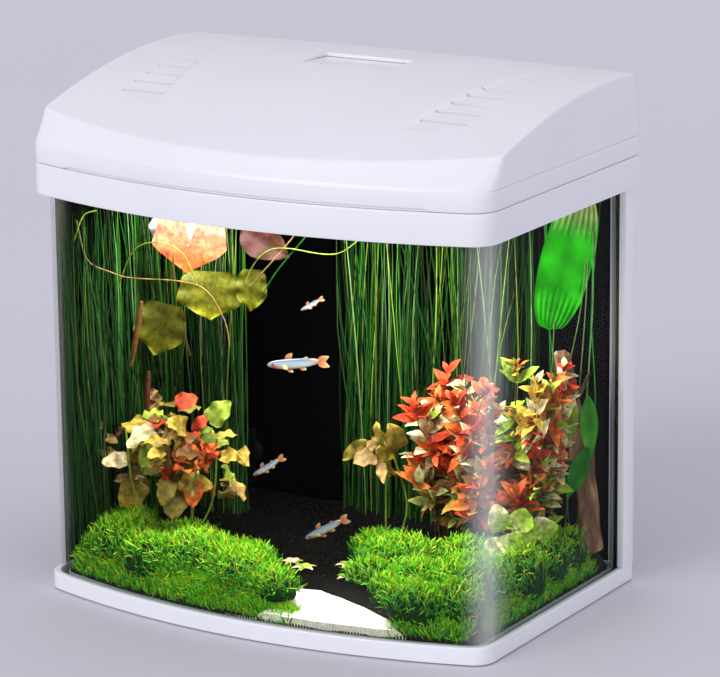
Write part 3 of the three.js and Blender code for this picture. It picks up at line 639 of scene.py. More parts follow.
def build_rim():
    """A closed frame round the top, with a slot for the edge of the glass."""
    slot_in, slot_out, inside = INNER_INSET + GAP, GLASS_INSET - GAP, 24
    slot_top = GLASS_HIGH + GAP
    profile = round_profile([
        (0, RIM_LOW, 0.9), (slot_out, RIM_LOW, 0.3), (slot_out, slot_top, 0), (slot_in, slot_top, 0),
        (slot_in, RIM_LOW, 0.3), (inside, RIM_LOW, 0.9), (inside, RIM_HIGH, 0.9), (0, RIM_HIGH, 1.1),
    ])
    insets = (0, slot_out, slot_in, inside)
    corners = (RIM_CORNER, GLASS_CORNER + GAP, GLASS_CORNER - GLASS - GAP, 12)
    rings = rings_round(profile, insets, corners, insets)
    faces = loop_faces(len(rings), len(rings[0]), closed_profile=True)
    piece("top_rim", np.vstack(rings), faces, WHITE, replaces=["top_frame"], slot="white_plastic")


def glass_path(inset, corner):
    """The bent pane's plan, from the rear of the left side round the front to the rear of the right side."""
    steps = {"bow": 96, "corner": 28, "side": 30}
    runs = outline_runs(HALF - inset, REAR, BOW_RADIUS - inset, BOW_CENTRE, corner, 0.5, steps)
    side = slice(0, len(runs["right"]) - REAR_STEPS)
    whole = np.vstack([runs["left"][side][::-1][:-1], runs["front"][:-1], runs["right"][side]])
    whole[[0, -1], 1] = GLASS_REAR
    return whole


def painted_sheen_share(x, y):
    """How much painted highlight the pane carries: most in the bends, fading along the sides."""
    bend_x = HALF - GLASS_INSET - GLASS_CORNER
    bend_y = BOW_CENTRE - math.sqrt((BOW_RADIUS - GLASS_INSET - GLASS_CORNER) ** 2 - bend_x**2)
    across = np.clip((np.abs(x) - bend_x) / GLASS_CORNER, 0, 1)
    behind = np.clip((y - bend_y) / np.where(x > 0, 54, 12), 0, 1)
    return np.where(x > 0, 0.32 * across**2 * (1 - behind) ** 4, 0.42 * across**4 * (1 - behind))


def build_glass():
    """The bent pane: left side, both corners, bow front and right side in one sheet."""
    outer, inner = glass_path(GLASS_INSET, GLASS_CORNER), glass_path(INNER_INSET, GLASS_CORNER - GLASS)
    bevel = 0.35
    section = [(0, bevel), (bevel / GLASS, 0), (1 - bevel / GLASS, 0), (1, bevel)]
    rows = [(across, GLASS_LOW + up) for across, up in section]
    rows += [(across, GLASS_HIGH - up) for across, up in section[::-1]]
    points = np.vstack([at_height(blended(outer, inner, across), up) for across, up in rows])
    columns = len(outer)
    starts = [r * columns for r in range(len(rows))]
    faces = []
    for a, b in zip(starts, starts[1:] + starts[:1]):
        faces += [(a + c, b + c, b + c + 1, a + c + 1) for c in range(columns - 1)]
    faces += [tuple(starts[::-1]), tuple(s + columns - 1 for s in starts)]
    pane = piece("bent_pane", points, faces, GLASS_LOOK, replaces=["front_glass"], slot="glass")
    # Painted highlight: each point of the pane gets its share of the white layer, strongest in the bent
    # corners.
    layer = pane.data.attributes.new("painted_glint", "FLOAT", "POINT")
    layer.data.foreach_set("value", painted_sheen_share(*points.T[:2]).astype(np.float32))


# ---------- hood ----------


def crown_height(x, y):
    """Height of the hood's top without its recesses, blended from the middle to the sides."""
    across = (np.abs(x) / HALF) ** 2
    crease = CREASE_FRONT + CREASE_SAGITTA * across
    t = np.maximum((y - crease) / (TOP_REAR - crease), -0.02)
    centre, side = (a + b * t + c * t**2 + d * t**3 for a, b, c, d in (CROWN_MIDDLE, CROWN_SIDE))
    return blended(centre, side, across)


def hood_height(x, y):
    """Height of the crown, with the lens-shaped recess round the louvres on each side."""
    crown = crown_height(x, y)
    start = LENS["start"] + LENS["slant"] * (y - LENS["start_y"])
    to_front = np.clip((LENS["widest"] - y) / (LENS["widest"] - LENS["front"]), 0, 1)
    to_rear = np.clip((y - LENS["fade"]) / (LENS["rear"] - LENS["fade"]), 0, 1)
    width = LENS["width"] * np.sqrt(1 - to_front**2) * (1 - to_rear**2)
    reach = np.abs(x) - start
    floor = np.minimum(crown, crown_height(start + width, y))
    share = ease(reach, 0, LENS["ramp"])
    return np.where((reach > 0) & (reach < width), crown + (floor - crown) * share, crown)


def hood_runs(steps, inset, lift):
    """The hood's outline, from the step above the lip (lift 0) to the crease (lift 1)."""
    lower = outline_runs(
        HALF - inset, REAR - STEP_REAR - inset, BOW_RADIUS - STEP_BOW - inset, BOW_CENTRE,
        RIM_CORNER - inset, HOOD_REAR_CORNER, steps)
    upper = outline_runs(
        HALF - inset, TOP_REAR - inset, CREASE_RADIUS - inset, CREASE_FRONT + CREASE_RADIUS,
        max(CREASE_CORNER - inset, 2), HOOD_REAR_CORNER, steps)
    share = {"front": lift, "right": lift, "left": lift, "back": lift * lift}
    return {key: blended(lower[key], upper[key], share[key]) for key in lower}


def skin(x, y, drop):
    """How far the inner surface lies below the outer one: more round the louvres."""
    (x0, x1), (y0, y1), extra = (92, 158), (-58, 40), 0.9
    side_fade, rear_fade = 8, 10
    across = ease(np.abs(x), x0, x0 + side_fade) * ease(-np.abs(x), -x1, side_fade - x1)
    along = ease(y, y0, y0 + side_fade) * ease(-y, -y1, rear_fade - y1)
    return drop * (1 + extra * across * along)


def lip_rings(steps, inset, foot, step):
    """The hood's upright lip: plain inside, with rounded edges and a finger notch in front outside."""

    def lip(depth):
        back = inset + depth
        return close_runs(outline_runs(
            HALF - back, REAR - back, BOW_RADIUS - back, BOW_CENTRE, RIM_CORNER - back, HOOD_REAR_CORNER,
            steps))

    if inset:
        return [at_height(lip(0), z) for z in (foot, step)]
    outer = lip(0)
    raised = foot + 1.6 * np.clip((152 - np.abs(outer[:, 0])) / 6, 0, 1) * (outer[:, 1] < 0)
    rings = [(1.9, foot), (1.8, raised)]
    rings += [(depth, raised + rise) for depth, rise in ((1.1, 0.0), (0.5, 0.2), (0.15, 0.6), (0, 1.2))]
    rings += [(depth, step - sink) for depth, sink in ((0, 1.1), (0.12, 0.5), (0.45, 0.12), (0.8, 0))]
    return [at_height(lip(depth), z) for depth, z in rings]


def hood_shell(steps, inset, drop, foot, crease_round):
    """Closed body of the hood's outer (or inner) surface."""
    rings = lip_rings(steps, inset, foot, STEP_Z - drop * 0.2)
    start = STEP_Z + 0.4
    last_lift = 0.7
    crease_ring = close_runs(hood_runs(steps, inset, 1))
    crease_z = hood_height(*crease_ring.T) - drop
    share = crease_round / np.maximum(crease_z - start, 1)
    for lift in (0.0, 0.12, 0.3, 0.5, last_lift):
        ring = close_runs(hood_runs(steps, inset, lift))
        rings.append(at_height(ring, start + (hood_height(*ring.T) - drop - start) * lift))

    # The crease is rounded by a curve from the ring below it to the ring inside it.
    below = ring + (crease_ring - ring) * ((1 - share - last_lift) / (1 - last_lift))[:, None]
    below_z = start + (hood_height(*below.T) - drop - start) * (1 - share)
    top_runs = hood_runs(steps, inset + crease_round, 1)
    top_ring = close_runs(top_runs)
    top_z = hood_height(*top_ring.T) - drop
    bends = 7
    for t in np.linspace(0, 1, bends + 1)[:-1]:
        a, b, c = (1 - t) ** 2, 2 * t * (1 - t), t * t
        rings.append(at_height(
            a * below + b * crease_ring + c * top_ring, a * below_z + b * crease_z + c * top_z))

    count = len(rings[0])
    top = coons(top_runs)
    rows, columns = top.shape[:2]
    flat = top.reshape(-1, 2)
    grid_start = count * len(rings)
    faces = loop_faces(len(rings), count)
    faces += stitched(grid_start - count, count, border(rows, columns, grid_start))
    faces += grid_faces(rows, columns, grid_start)
    faces.append(tuple(range(count))[::-1])
    return np.vstack([*rings, at_height(flat, hood_height(*flat.T) - skin(*flat.T, drop))]), faces


def stadium(cx, cy, length, width):
    reach = (length - width) / 2
    return np.vstack([
        arc(cx + reach, cy, width / 2, -math.pi / 2, math.pi / 2, 8),
        arc(cx - reach, cy, width / 2, math.pi / 2, 1.5 * math.pi, 8),
    ])


def rounded_box(x0, x1, y0, y1, radius):
    corners = [(x1 - radius, y0 + radius, -90), (x1 - radius, y1 - radius, 0),
               (x0 + radius, y1 - radius, 90), (x0 + radius, y0 + radius, 180)]
    return np.vstack([
        arc(x, y, radius, math.radians(turn), math.radians(turn + 90), 5) for x, y, turn in corners
    ])


def hatch_clearance():
    """A block that the hood keeps solid behind the hatch: it follows the hatch plane just above the plate."""
    low, high = box_mm("feed_hatch")
    half, travel, clearance = 42, 34, 0.35
    back = high[1] + travel + 3
    points, faces = box(-half, half, low[1] - 4, back, 0, ABOVE_ALL)
    front_z = high[2] + clearance
    back_z = high[2] - HATCH_SLOPE * (back - low[1]) + clearance
    points[:4, 2] = np.where(points[:4, 1] > low[1], back_z, front_z)
    return points, faces


def lid_openings():
    """What is cut from the hood: louvres, hatch, hinge room, switch and cable notch."""
    solids = []
    for i in range(LOUVRE["count"]):
        share = i / (LOUVRE["count"] - 1)
        length = LOUVRE["length"] - LOUVRE["taper"] * share
        x = LOUVRE["outer"] + LOUVRE["growth"] * share - length / 2
        y = LOUVRE["front"] + LOUVRE["pitch"] * i
        for sign in (-1, 1):
            solids.append(prism(stadium(sign * x, y, length, LOUVRE["width"]), STEP_Z, ABOVE_ALL))
    low, high = box_mm("feed_hatch")
    half, slack, hatch_foot = 37.5, 0.25, 370
    opening = rounded_box(-half, half, low[1] - slack, high[1] + slack, 1.5)
    solids.append(prism(opening, hatch_foot, ABOVE_ALL))

    _, hinge_y, hinge_z = middle("hinge_pin_left")
    under_pin, lug_room, outside_wall, foot = 1.8, 3.6, REAR + 2, LID_LOW - 1
    solids.append(box(-200, 200, hinge_y, outside_wall, foot, hinge_z - under_pin))
    for name in HINGE_LUGS:
        low, high = box_mm(name)
        x0, x1 = low[0] - GAP, high[0] + GAP
        solids.append(box(x0, x1, hinge_y - lug_room, outside_wall, foot, hinge_z + lug_room))
    low, high = box_mm("switch_bezel")
    solids.append(box(low[0] - GAP, high[0] + GAP, 100, 140, low[2] - GAP, high[2] + GAP))
    notch_left, notch_right, notch_top = 145, 155, 331
    solids.append(box(notch_left, notch_right, REAR - 10, REAR + 5, LID_LOW - 2, notch_top))
    return solids


def build_lid():
    outer = hood_shell({"bow": 220, "corner": 20, "side": 150}, 0, 0, LID_LOW, 2.2)
    inner = hood_shell({"bow": 64, "corner": 12, "side": 40}, 2.2, 2, LID_LOW - 5, 1.2)
    lid = piece("hood_shell", *outer, WHITE, body="hood", replaces=["lid"], slot="white_plastic")
    hollow = add_object("hollow", mesh_mm("hollow", *inner))
    carve(hollow, [hatch_clearance()])
    points = np.array([corner.co for corner in hollow.data.vertices]) / MM
    faces = [tuple(face.vertices) for face in hollow.data.polygons]
    bpy.data.objects.remove(hollow)
    carve(lid, [(points, faces), *lid_openings()])


def build_knuckles():
    """Two knuckles beside each hinge lug, bored for the pin."""
    _, hinge_y, hinge_z = middle("hinge_pin_left")
    radius, bore, length, foot = 3, 1.6, 8, hinge_z - 2.6
    outline = np.vstack([
        [(hinge_y - radius, foot), (hinge_y + radius, foot)],
        arc(hinge_y, hinge_z, radius, 0, math.pi, 14),
    ])
    angles = np.arctan2(outline[:, 1] - hinge_z, outline[:, 0] - hinge_y)
    hole = np.column_stack([hinge_y + bore * np.cos(angles), hinge_z + bore * np.sin(angles)])
    count = len(outline)
    points, faces = [], []
    for name in HINGE_LUGS:
        low, high = box_mm(name)
        for x0, x1 in ((low[0] - length, low[0] - GAP), (high[0] + GAP, high[0] + length)):
            faces += shifted(loop_faces(4, count, closed_profile=True), sum(map(len, points)))
            for x, ring in ((x0, outline), (x1, outline), (x1, hole), (x0, hole)):
                points.append(np.column_stack([np.full(count, x), ring]))
    piece("hinge_knuckles", np.vstack(points), faces, WHITE, body="hood", slot="white_plastic")


def build_bosses():
    """Bosses under the crown that the lamp is screwed to, each with a pilot hole."""
    count, radius, hole, hole_depth, below_skin = 24, 4, 1.7, 5, 3.4
    foot = box_mm("lamp_housing")[1][2] + GAP
    points, faces = [], []
    for i, screw in enumerate(numbered("lamp_screw", 4)):
        x, y, _ = middle(screw)
        top = float(hood_height(np.array([x]), np.array([y]))[0]) - below_skin
        rings = ((hole, foot + hole_depth), (hole, foot), (radius, foot), (radius, top))
        points += [at_height(circle(x, y, size, count), z) for size, z in rings]
        faces += shifted(loop_faces(4, count) + caps(4, count), 4 * count * i)
    piece("lamp_bosses", np.vstack(points), faces, WHITE, body="hood", slot="white_plastic")


def build_hatch():
    """The feeding hatch: a plate with a thumb dish, on a wider flange that runs in the rails."""
    low, high = box_mm("feed_hatch")
    half, depth = 37.2, (high - low)[1] - 0.2
    rounding, lip_depth, flange_reach = 2, 3, 4
    dish_x, dish_y, dish_depth, dish_from_rear = 9, 7, 1.3, 14
    rows, columns = 41, 75
    gx, gy = np.meshgrid(np.linspace(-half + rounding, half - rounding, columns),
                         np.linspace(-depth / 2 + rounding, depth / 2 - rounding, rows))
    hollow = 1 - (gx / dish_x) ** 2 - ((gy - depth / 2 + dish_from_rear) / dish_y) ** 2
    top = np.column_stack([gx.ravel(), gy.ravel(), -dish_depth * np.sqrt(np.clip(hollow, 0, 1)).ravel()])
    edge = border(rows, columns)
    count = len(edge)
    rim = top[edge, :2]
    at_side = np.abs(rim) > np.array((half, depth / 2)) - rounding - 0.01
    rim = at_height(rim + np.where(at_side, np.copysign(rounding, rim), 0), -lip_depth)
    flange_half = half + flange_reach
    flange = box(-flange_half, flange_half, -depth / 2, depth / 2, -3.8, -2.8)
    points = np.vstack([top, rim, rim * (0.998, 0.998, 0), flange[0]])
    start = len(top)
    faces = grid_faces(rows, columns) + stitched(start + count, count, edge)
    faces += shifted(loop_faces(2, count), start) + [tuple(range(start, start + count))[::-1]]
    faces += shifted(flange[1], start + 2 * count)

    centre = Vector((0, middle("feed_hatch")[1], high[2] - HATCH_SLOPE * depth / 2))
    tilt = np.array(Matrix.Rotation(-math.atan(HATCH_SLOPE), 3, "X"))
    piece("hatch_panel", points @ tilt.T + np.array(centre), faces, WHITE, body="hatch",
          replaces=["feed_hatch"], slot="white_plastic", angle=30)


build_base()
build_rim()
build_glass()
build_lid()
build_knuckles()
build_bosses()
build_hatch()


# ---------- leaves, blades and stems ----------

ORANGE = (0.72, 0.17, 0.03)
RED_ORANGE = (0.66, 0.07, 0.02)
DARK_RED = (0.2, 0.018, 0.01)
CREAM = (0.86, 0.7, 0.36)
BLUSH = (0.88, 0.55, 0.42)
LIME = (0.46, 0.68, 0.06)
YELLOW_GREEN = (0.3, 0.4, 0.04)
OLIVE = (0.36, 0.27, 0.04)
BROWN = (0.2, 0.08, 0.02)
TAN = (0.5, 0.3, 0.1)
DEEP_GREEN = (0.006, 0.06, 0.008)
MID_GREEN = (0.02, 0.2, 0.018)
BRIGHT_GREEN = (0.1, 0.55, 0.03)
PALE_GREEN = (0.4, 0.68, 0.22)


class Heap:
    """Closed bits that make up one piece, with a tint at each point."""

    def __init__(self):
        self.points, self.faces, self.tints = [], [], []
        self.count = 0

    def add(self, points, tint, *blocks):
        points = np.asarray(points, float)
        self.tints.append(np.broadcast_to(tint, points.shape).reshape(-1, 3))
        points = points.reshape(-1, 3)
        self.points.append(points)
        for block in blocks:
            self.faces += [tuple(face) for face in (np.asarray(block) + self.count).tolist()]
        self.count += len(points)

    def finish(self, name, material, **settings):
        tint = np.clip(np.vstack(self.tints), 0, 1)
        return piece(name, np.vstack(self.points), self.faces, material, tint=tint, **settings)


def unit(vectors):
    return vectors / np.maximum(np.linalg.norm(vectors, axis=-1, keepdims=True), 1e-9)


def strands(heap, paths, width, tint, side=(1.0, 0.3, 0.0), flat=0.35, sides=4):
    """Closed blades or stems along n paths of m points, with the wide way of the section along side."""
    paths = np.asarray(paths, float)
    count, rows, _ = paths.shape
    along = unit(np.gradient(paths, axis=1))
    across = np.broadcast_to(side, paths.shape)
    across = unit(across - (across * along).sum(-1, keepdims=True) * along)
    up = np.cross(along, across)
    turns = 2 * math.pi * np.arange(sides) / sides
    half = np.broadcast_to(np.asarray(width) / 2, (count, rows))[:, :, None, None]
    spokes = np.cos(turns)[:, None] * across[:, :, None] + flat * np.sin(turns)[:, None] * up[:, :, None]
    points = paths[:, :, None] + half * spokes
    r, s = np.meshgrid(np.arange(rows - 1), np.arange(sides), indexing="ij")
    low, high = r * sides + s, r * sides + (s + 1) % sides
    quads = np.stack([low, high, high + sides, low + sides], -1).reshape(-1, 4)
    ends = np.array([np.arange(sides)[::-1], (rows - 1) * sides + np.arange(sides)])
    starts = np.arange(count)[:, None, None] * rows * sides
    tint = np.broadcast_to(tint, paths.shape)[:, :, None] * np.ones((1, 1, sides, 1))
    heap.add(points, tint, (quads + starts).reshape(-1, 4), (ends + starts).reshape(-1, sides))


LEAF_SHAPES = {
    "lance": lambda u: np.sin(math.pi * u**0.8) ** 0.9,
    "oval": lambda u: np.sqrt(np.clip(1 - (2 * u - 1) ** 2, 0, 1)),
    "heart": lambda u: 1.75 * u**0.3 * (1 - u) ** 0.62,
    "ribbon": lambda u: np.clip(np.sin(math.pi * u), 0, 1) ** 0.3,
    "kite": lambda u: np.interp(u, (0, 0.12, 0.58, 0.7, 1), (0.55, 0.85, 1, 0.8, 0)),
}


def leaves(heap, roots, ahead, up, length, width, tint, tip=None, turn=(0.2, 1.0), shape="lance",
           rows=6, columns=3, fold=0.25, droop=0.6, wave=0.0, waves=3.0, ribs=0.0, thick=0.35):
    """Closed leaves that start at roots, run ahead and face up, folded along the rib, drooping and waved."""
    roots = np.atleast_2d(np.asarray(roots, float))
    count = len(roots)
    column = lambda value: np.broadcast_to(np.asarray(value, float), (count,))[:, None]
    length, width, droop = column(length), column(width), column(droop) + 1e-3
    ahead = unit(np.broadcast_to(np.asarray(ahead, float), roots.shape))
    side = unit(np.cross(ahead, np.broadcast_to(np.asarray(up, float), roots.shape)))
    up = np.cross(side, ahead)

    grid = np.meshgrid(np.linspace(0, 1, rows), np.linspace(-1, 1, columns), indexing="ij")
    u, v = (part.ravel() for part in grid)
    half = np.maximum(LEAF_SHAPES[shape](u), 0.04) * width / 2
    bend = droop * u
    phase = draws.uniform(0, 6.28, (count, 1))
    lift = fold * np.abs(v) * half + wave * length * np.sin(2 * math.pi * waves * u + phase + v) * v * v
    lift = lift + ribs * np.cos(math.pi * (columns - 1) / 2 * v)
    along = length * np.sin(bend) / droop
    sink = length * (np.cos(bend) - 1) / droop
    body = thick / 2 * (1 - 0.75 * v * v)
    layers = []
    for level in (body, -body):
        height = lift + level
        layers.append(
            roots[:, None]
            + (v * half)[..., None] * side[:, None]
            + (along + np.sin(bend) * height)[..., None] * ahead[:, None]
            + (sink + np.cos(bend) * height)[..., None] * up[:, None]
        )
    points = np.concatenate(layers, axis=1)
    size = rows * columns
    edge = np.array(border(rows, columns))
    after = np.roll(edge, -1)
    quads = np.vstack([
        grid_faces(rows, columns),
        grid_faces(rows, columns, size, flip=True),
        np.column_stack([edge + size, after + size, after, edge]),
    ])
    tint = np.broadcast_to(np.asarray(tint, float), (count, 3))[:, None]
    tip = tint if tip is None else np.broadcast_to(np.asarray(tip, float), (count, 3))[:, None]
    share = ease(u, *turn)[None, :, None]
    # Painted shade: each leaf is darker along its middle, in the fold, and lighter towards its edges.
    shading = (0.8 + 0.2 * ease(np.abs(v), 0, 0.5))[None, :, None]
    colour = blended(tint, tip, share) * shading
    starts = np.arange(count)[:, None, None] * 2 * size
    heap.add(points, np.concatenate([colour, colour], axis=1), (quads + starts).reshape(-1, 4))


def route(points, steps=16):
    """A smooth path through a few points."""
    points = np.asarray(points, float)
    spots = np.linspace(0, len(points) - 1, steps)
    padded = np.vstack([2 * points[0] - points[1], points, 2 * points[-1] - points[-2]])
    k = np.minimum(spots.astype(int), len(points) - 2)
    t = (spots - k)[:, None]
    a, b, c, d = padded[k], padded[k + 1], padded[k + 2], padded[k + 3]
    return 0.5 * (2 * b + (c - a) * t + (2 * a - 5 * b + 4 * c - d) * t**2 + (3 * b - a - 3 * c + d) * t**3)


def picked(palette, count):
    """Colours drawn from a palette, each a little lighter or darker."""
    chosen = np.array(palette)[draws.integers(0, len(palette), count)]
    return chosen * draws.uniform(0.65, 1.25, (count, 1))


VIEWER = np.array((0.5, -0.84, 0.2))


# ---------- ground ----------


def outside(x, y, outline):
    """Signed distance in plan from an outline, below zero inside it."""
    outline = np.asarray(outline, float)
    points = np.stack([x, y], -1)
    nearest = np.full(x.shape, np.inf)
    inside = np.zeros(x.shape, bool)
    for start, end in zip(outline, np.roll(outline, -1, axis=0)):
        edge = end - start
        t = np.clip(((points - start) @ edge) / (edge @ edge), 0, 1)
        nearest = np.minimum(nearest, np.linalg.norm(points - start - t[..., None] * edge, axis=-1))
        crosses = (start[1] > y) != (end[1] > y)
        inside ^= crosses & (x < start[0] + (y - start[1]) * edge[0] / (edge[1] or 1))
    return np.where(inside, -nearest, nearest)


def ripple(x, y, size, seed=0.0):
    """A gentle random surface, from -1 to 1, with bumps of about that size."""
    total = np.zeros_like(np.asarray(x, float))
    for k in range(5):
        angle = seed + 2.4 * k
        reach = 2 * math.pi / size * (1 + 0.35 * k)
        total += np.sin(reach * (x * math.cos(angle) + y * math.sin(angle)) + seed * 7 + k) / (1 + 0.4 * k)
    return total / 3.2


def near_glass(x, y, reach):
    """1 along the front and the sides of the bed, 0 at that distance inside it."""
    bow, side = BOW_RADIUS - BED_INSET, HALF - BED_INSET
    front = ease(np.hypot(x, y - BOW_CENTRE), bow - reach, bow)
    return np.maximum(front, ease(np.abs(x), side - reach, side))


def ground_height(x, y):
    """The soil: level, with low mounds, dipping under the sand."""
    level = SOIL_TOP - 0.9 + 0.8 * ripple(x, y, 46, 0.4) + 0.4 * ripple(x, y, 11, 2.0)
    dip = ease(outside(x, y, SAND_PATH), 6, -5)
    return level - (SOIL_TOP - SAND_TOP + 5) * dip - near_glass(x, y, 13) * (14.5 - 13.5 * dip)


def sand_height(x, y):
    """The sand: a low sheet over its path, sinking into the soil round its edge."""
    edge = ease(outside(x, y, SAND_PATH), 9, 0)
    grain = 0.35 * ripple(x, y, 30, 1.1) + 0.12 * ripple(x, y, 7, 3.0)
    surface = 6.6 + grain - 1.5 * near_glass(x, y, 9)
    return SAND_TOP - 7 + surface * edge


def bed(name, height, floor, material, replaces, slot, runs):
    """A closed body under a height field, on a flat floor."""
    top = coons(runs)
    rows, columns = top.shape[:2]
    flat = top.reshape(-1, 2)
    edge = border(rows, columns)
    start, count = len(flat), len(edge)
    points = np.vstack([at_height(flat, height(*flat.T)), at_height(flat[edge], floor)])
    faces = grid_faces(rows, columns) + stitched(start, count, edge)
    faces.append(tuple(range(start, start + count))[::-1])
    piece(name, points, faces, material, replaces=[replaces], slot=slot, angle=60)


SAND_PATH = [(2, -58), (22, -150), (140, -150), (112, -92), (70, -70), (26, -54)]


def build_ground():
    floor = box_mm("soil_bed")[0][2]
    bow = BOW_RADIUS - BED_INSET
    runs = outline_runs(HALF - BED_INSET, REAR - BED_INSET, bow, BOW_CENTRE, 4, 2, BED_STEPS)
    bed("aquasoil_bed", ground_height, floor, SOIL, "soil_bed", "soil", runs)
    heap = Heap()
    count, half_width, half_depth, from_sand, from_bow = 2600, 165, 108, 4, 24
    x = draws.uniform(-half_width, half_width, count)
    y = draws.uniform(-half_depth, half_depth, count)
    open_soil = (outside(x, y, SAND_PATH) > from_sand) & (y > (np.abs(x) / HALF) ** 2 * BOW - REAR + from_bow)
    x, y = x[open_soil], y[open_soil]
    size = draws.uniform(1.6, 3.2, len(x))
    z = ground_height(x, y) + size * 0.2
    lean = unit(draws.normal(size=(len(x), 3)))
    base = np.stack([x, y, z], -1)
    steps = np.array([-0.5, -0.3, 0.3, 0.5])[None, :, None] * size[:, None, None]
    shade = draws.uniform(0.5, 1.6, (len(x), 1, 1))
    strands(heap, base[:, None] + steps * lean[:, None], size[:, None] * [0.5, 1, 1, 0.5],
            np.array((1, 1, 1)) * shade, side=(0.3, 0.8, 0.5), flat=0.9, sides=6)
    heap.finish("soil_grains", SOIL, slot="soil")

    low, high = box_mm("sand_bed")
    margin, columns, rows = 6, 60, 40
    across = np.linspace(low[0] - margin, high[0] + margin, columns)
    front = np.column_stack([across, BOW_CENTRE - np.sqrt(bow**2 - across**2)])
    back = np.column_stack([across, np.full(columns, high[1] + margin)])
    right, left = (np.linspace(front[end], back[end], rows) for end in (-1, 0))
    runs = {"front": front, "back": back, "left": left, "right": right}
    bed("sand_path", sand_height, SAND_TOP - 8, SAND, "sand_bed", "sand", runs)


def dome(heap, centre, radii, tint):
    """A mossy mound, closed under the soil."""
    rows, around = 9, 30
    tilt = np.linspace(-0.35, math.pi / 2 - 0.03, rows)[:, None]
    turn = 2 * math.pi * np.arange(around)[None] / around
    swell = 0.93 + 0.07 * np.sin(5 * turn + centre[0]) * np.cos(3 * tilt + turn)
    level = np.cos(tilt)
    ball = np.stack([level * np.cos(turn), level * np.sin(turn), np.sin(tilt) * np.ones_like(turn)], -1)
    points = np.array(centre) + ball * swell[..., None] * np.array(radii) * 0.93
    heap.add(points, tint, loop_faces(rows, around), caps(rows, around))


def in_tank(points, margin):
    """Whether points are clear of the glass by a margin."""
    x, y = points[..., 0], points[..., 1]
    reach = HALF - INNER_INSET - margin
    bow = np.hypot(x, y - BOW_CENTRE) < BOW_RADIUS - INNER_INSET - margin
    return (np.abs(x) < reach) & bow & (y < REAR - INNER_INSET - margin)


def carpet(name, replaces, mounds, fringe, painted_lit_greens, painted_shade_greens):
    """Mounds of small-leaved carpet plant: bright on top, darker lower down, as painted light and painted
    shade.
    """
    density, fringe_per_mm = 1.5, 30
    fringe_inset, fringe_depth = 15.4, 15.6
    heap = Heap()
    for x, y, width, depth, rise in mounds:
        centre, radii = np.array((x, y, SOIL_TOP - 2)), np.array((width, depth, rise))
        # Painted shade: a dark green core under each mound fills the gaps between the leaves.
        dome(heap, centre, radii, (0.006, 0.04, 0.006))
        count = int(density * width * depth)
        spot = unit(draws.normal(size=(count, 3)) * (1, 1, 1.2))
        spot[:, 2] = np.abs(spot[:, 2]) * 0.98 + 0.02
        roots = centre + spot * radii * draws.uniform(0.86, 1.0, (count, 1))
        normal = unit(spot / radii)
        ahead = unit(normal * 0.35 + draws.normal(0, 0.4, (count, 3)) + (0, -0.1, 0.75))
        ahead[:, 2] = np.abs(ahead[:, 2])
        fronds(heap, roots, ahead, normal + (0, 0, 0.4), spot[:, 2], painted_lit_greens, painted_shade_greens)

    # A fringe hides the edge of the bed behind the glass, in front and at the right.
    for axis, start, end in fringe:
        count = int(abs(end - start) * fringe_per_mm)
        along = draws.uniform(start, end, count)
        rise = draws.uniform(0, 1, count)
        inset = fringe_inset + fringe_depth * rise
        if axis == "x":
            x, y = along, BOW_CENTRE - np.sqrt((BOW_RADIUS - inset) ** 2 - along**2)
            out = (0, -0.25, 0.8)
        else:
            x, y = HALF - inset, along
            out = (0.25, 0, 0.8)
        bulge = 3 + 3 * ripple(x, y, 26, 1.0)
        roots = np.column_stack([x, y, ground_height(x, y) + bulge * rise - 2 * (1 - rise)])
        ahead = unit(draws.normal(0, 0.4, (count, 3)) + out)
        fronds(heap, roots, ahead, (*VIEWER[:2], 0.4), 0.3 + 0.7 * rise, painted_lit_greens, painted_shade_greens)
    heap.finish(name, MOSS, replaces=replaces, slot="moss")


def fronds(heap, roots, ahead, face, height, painted_lit_greens, painted_shade_greens):
    """Small soft leaves, bright where height is near 1 and dark where it is near 0: painted light high up,
    painted shade low down.
    """
    count = len(roots)
    length = draws.uniform(5, 10, count)
    width = draws.uniform(0.7, 1.3, count)
    keep = in_tank(roots + ahead * length[:, None], 0.8) & in_tank(roots, 1)
    height = np.clip(height + draws.normal(0, 0.2, count), 0, 1)[:, None]
    tint = blended(picked(painted_shade_greens, count), picked(painted_lit_greens, count), height)
    face = np.broadcast_to(face, roots.shape)
    roots, ahead, face, length, width, tint = (
        values[keep] for values in (roots, ahead, face, length, width, tint))
    # Painted shade at each leaf's root and painted light towards its tip.
    leaves(heap, roots, ahead, face, length, width, tint * 0.6, tip=np.minimum(tint * 2.2, 1), shape="oval",
           rows=3, columns=3, fold=0.2, droop=0.5, thick=0.3)


def build_moss():
    # Lit greens give the painted light on the mounds' tops, dark greens the painted shade below.
    painted_lit_greens = [(0.36, 0.74, 0.02), (0.3, 0.72, 0.01), (0.56, 0.8, 0.03), (0.16, 0.66, 0.01), BRIGHT_GREEN]
    painted_shade_greens = [DEEP_GREEN, MID_GREEN, MID_GREEN]
    carpet("moss_carpet_left", ["moss_left_front", "moss_left"], [
        (-134, -66, 34, 28, 24), (-62, -78, 44, 26, 27), (-152, -40, 22, 32, 20), (-98, -86, 30, 18, 22),
        (-20, -86, 32, 24, 22), (-95, -44, 34, 22, 18), (8, -92, 22, 18, 14), (-40, -50, 26, 16, 14),
    ], [("x", -168, 36)], painted_lit_greens, painted_shade_greens)
    carpet("moss_carpet_right", ["moss_right_front", "moss_right"], [
        (142, -42, 30, 36, 30), (74, -14, 38, 28, 27), (108, -52, 30, 26, 24), (158, 6, 18, 32, 26),
        (118, 4, 32, 26, 27), (64, -42, 22, 16, 15), (150, -72, 24, 16, 22), (36, 14, 22, 20, 16),
        (122, -84, 26, 16, 20), (92, -66, 18, 12, 14), (160, 44, 15, 28, 24), (162, 74, 12, 18, 22),
    ], [("x", 112, 168), ("y", -72, 92)], painted_lit_greens, [DEEP_GREEN, MID_GREEN, (0.01, 0.2, 0.06)])


# ---------- plants ----------


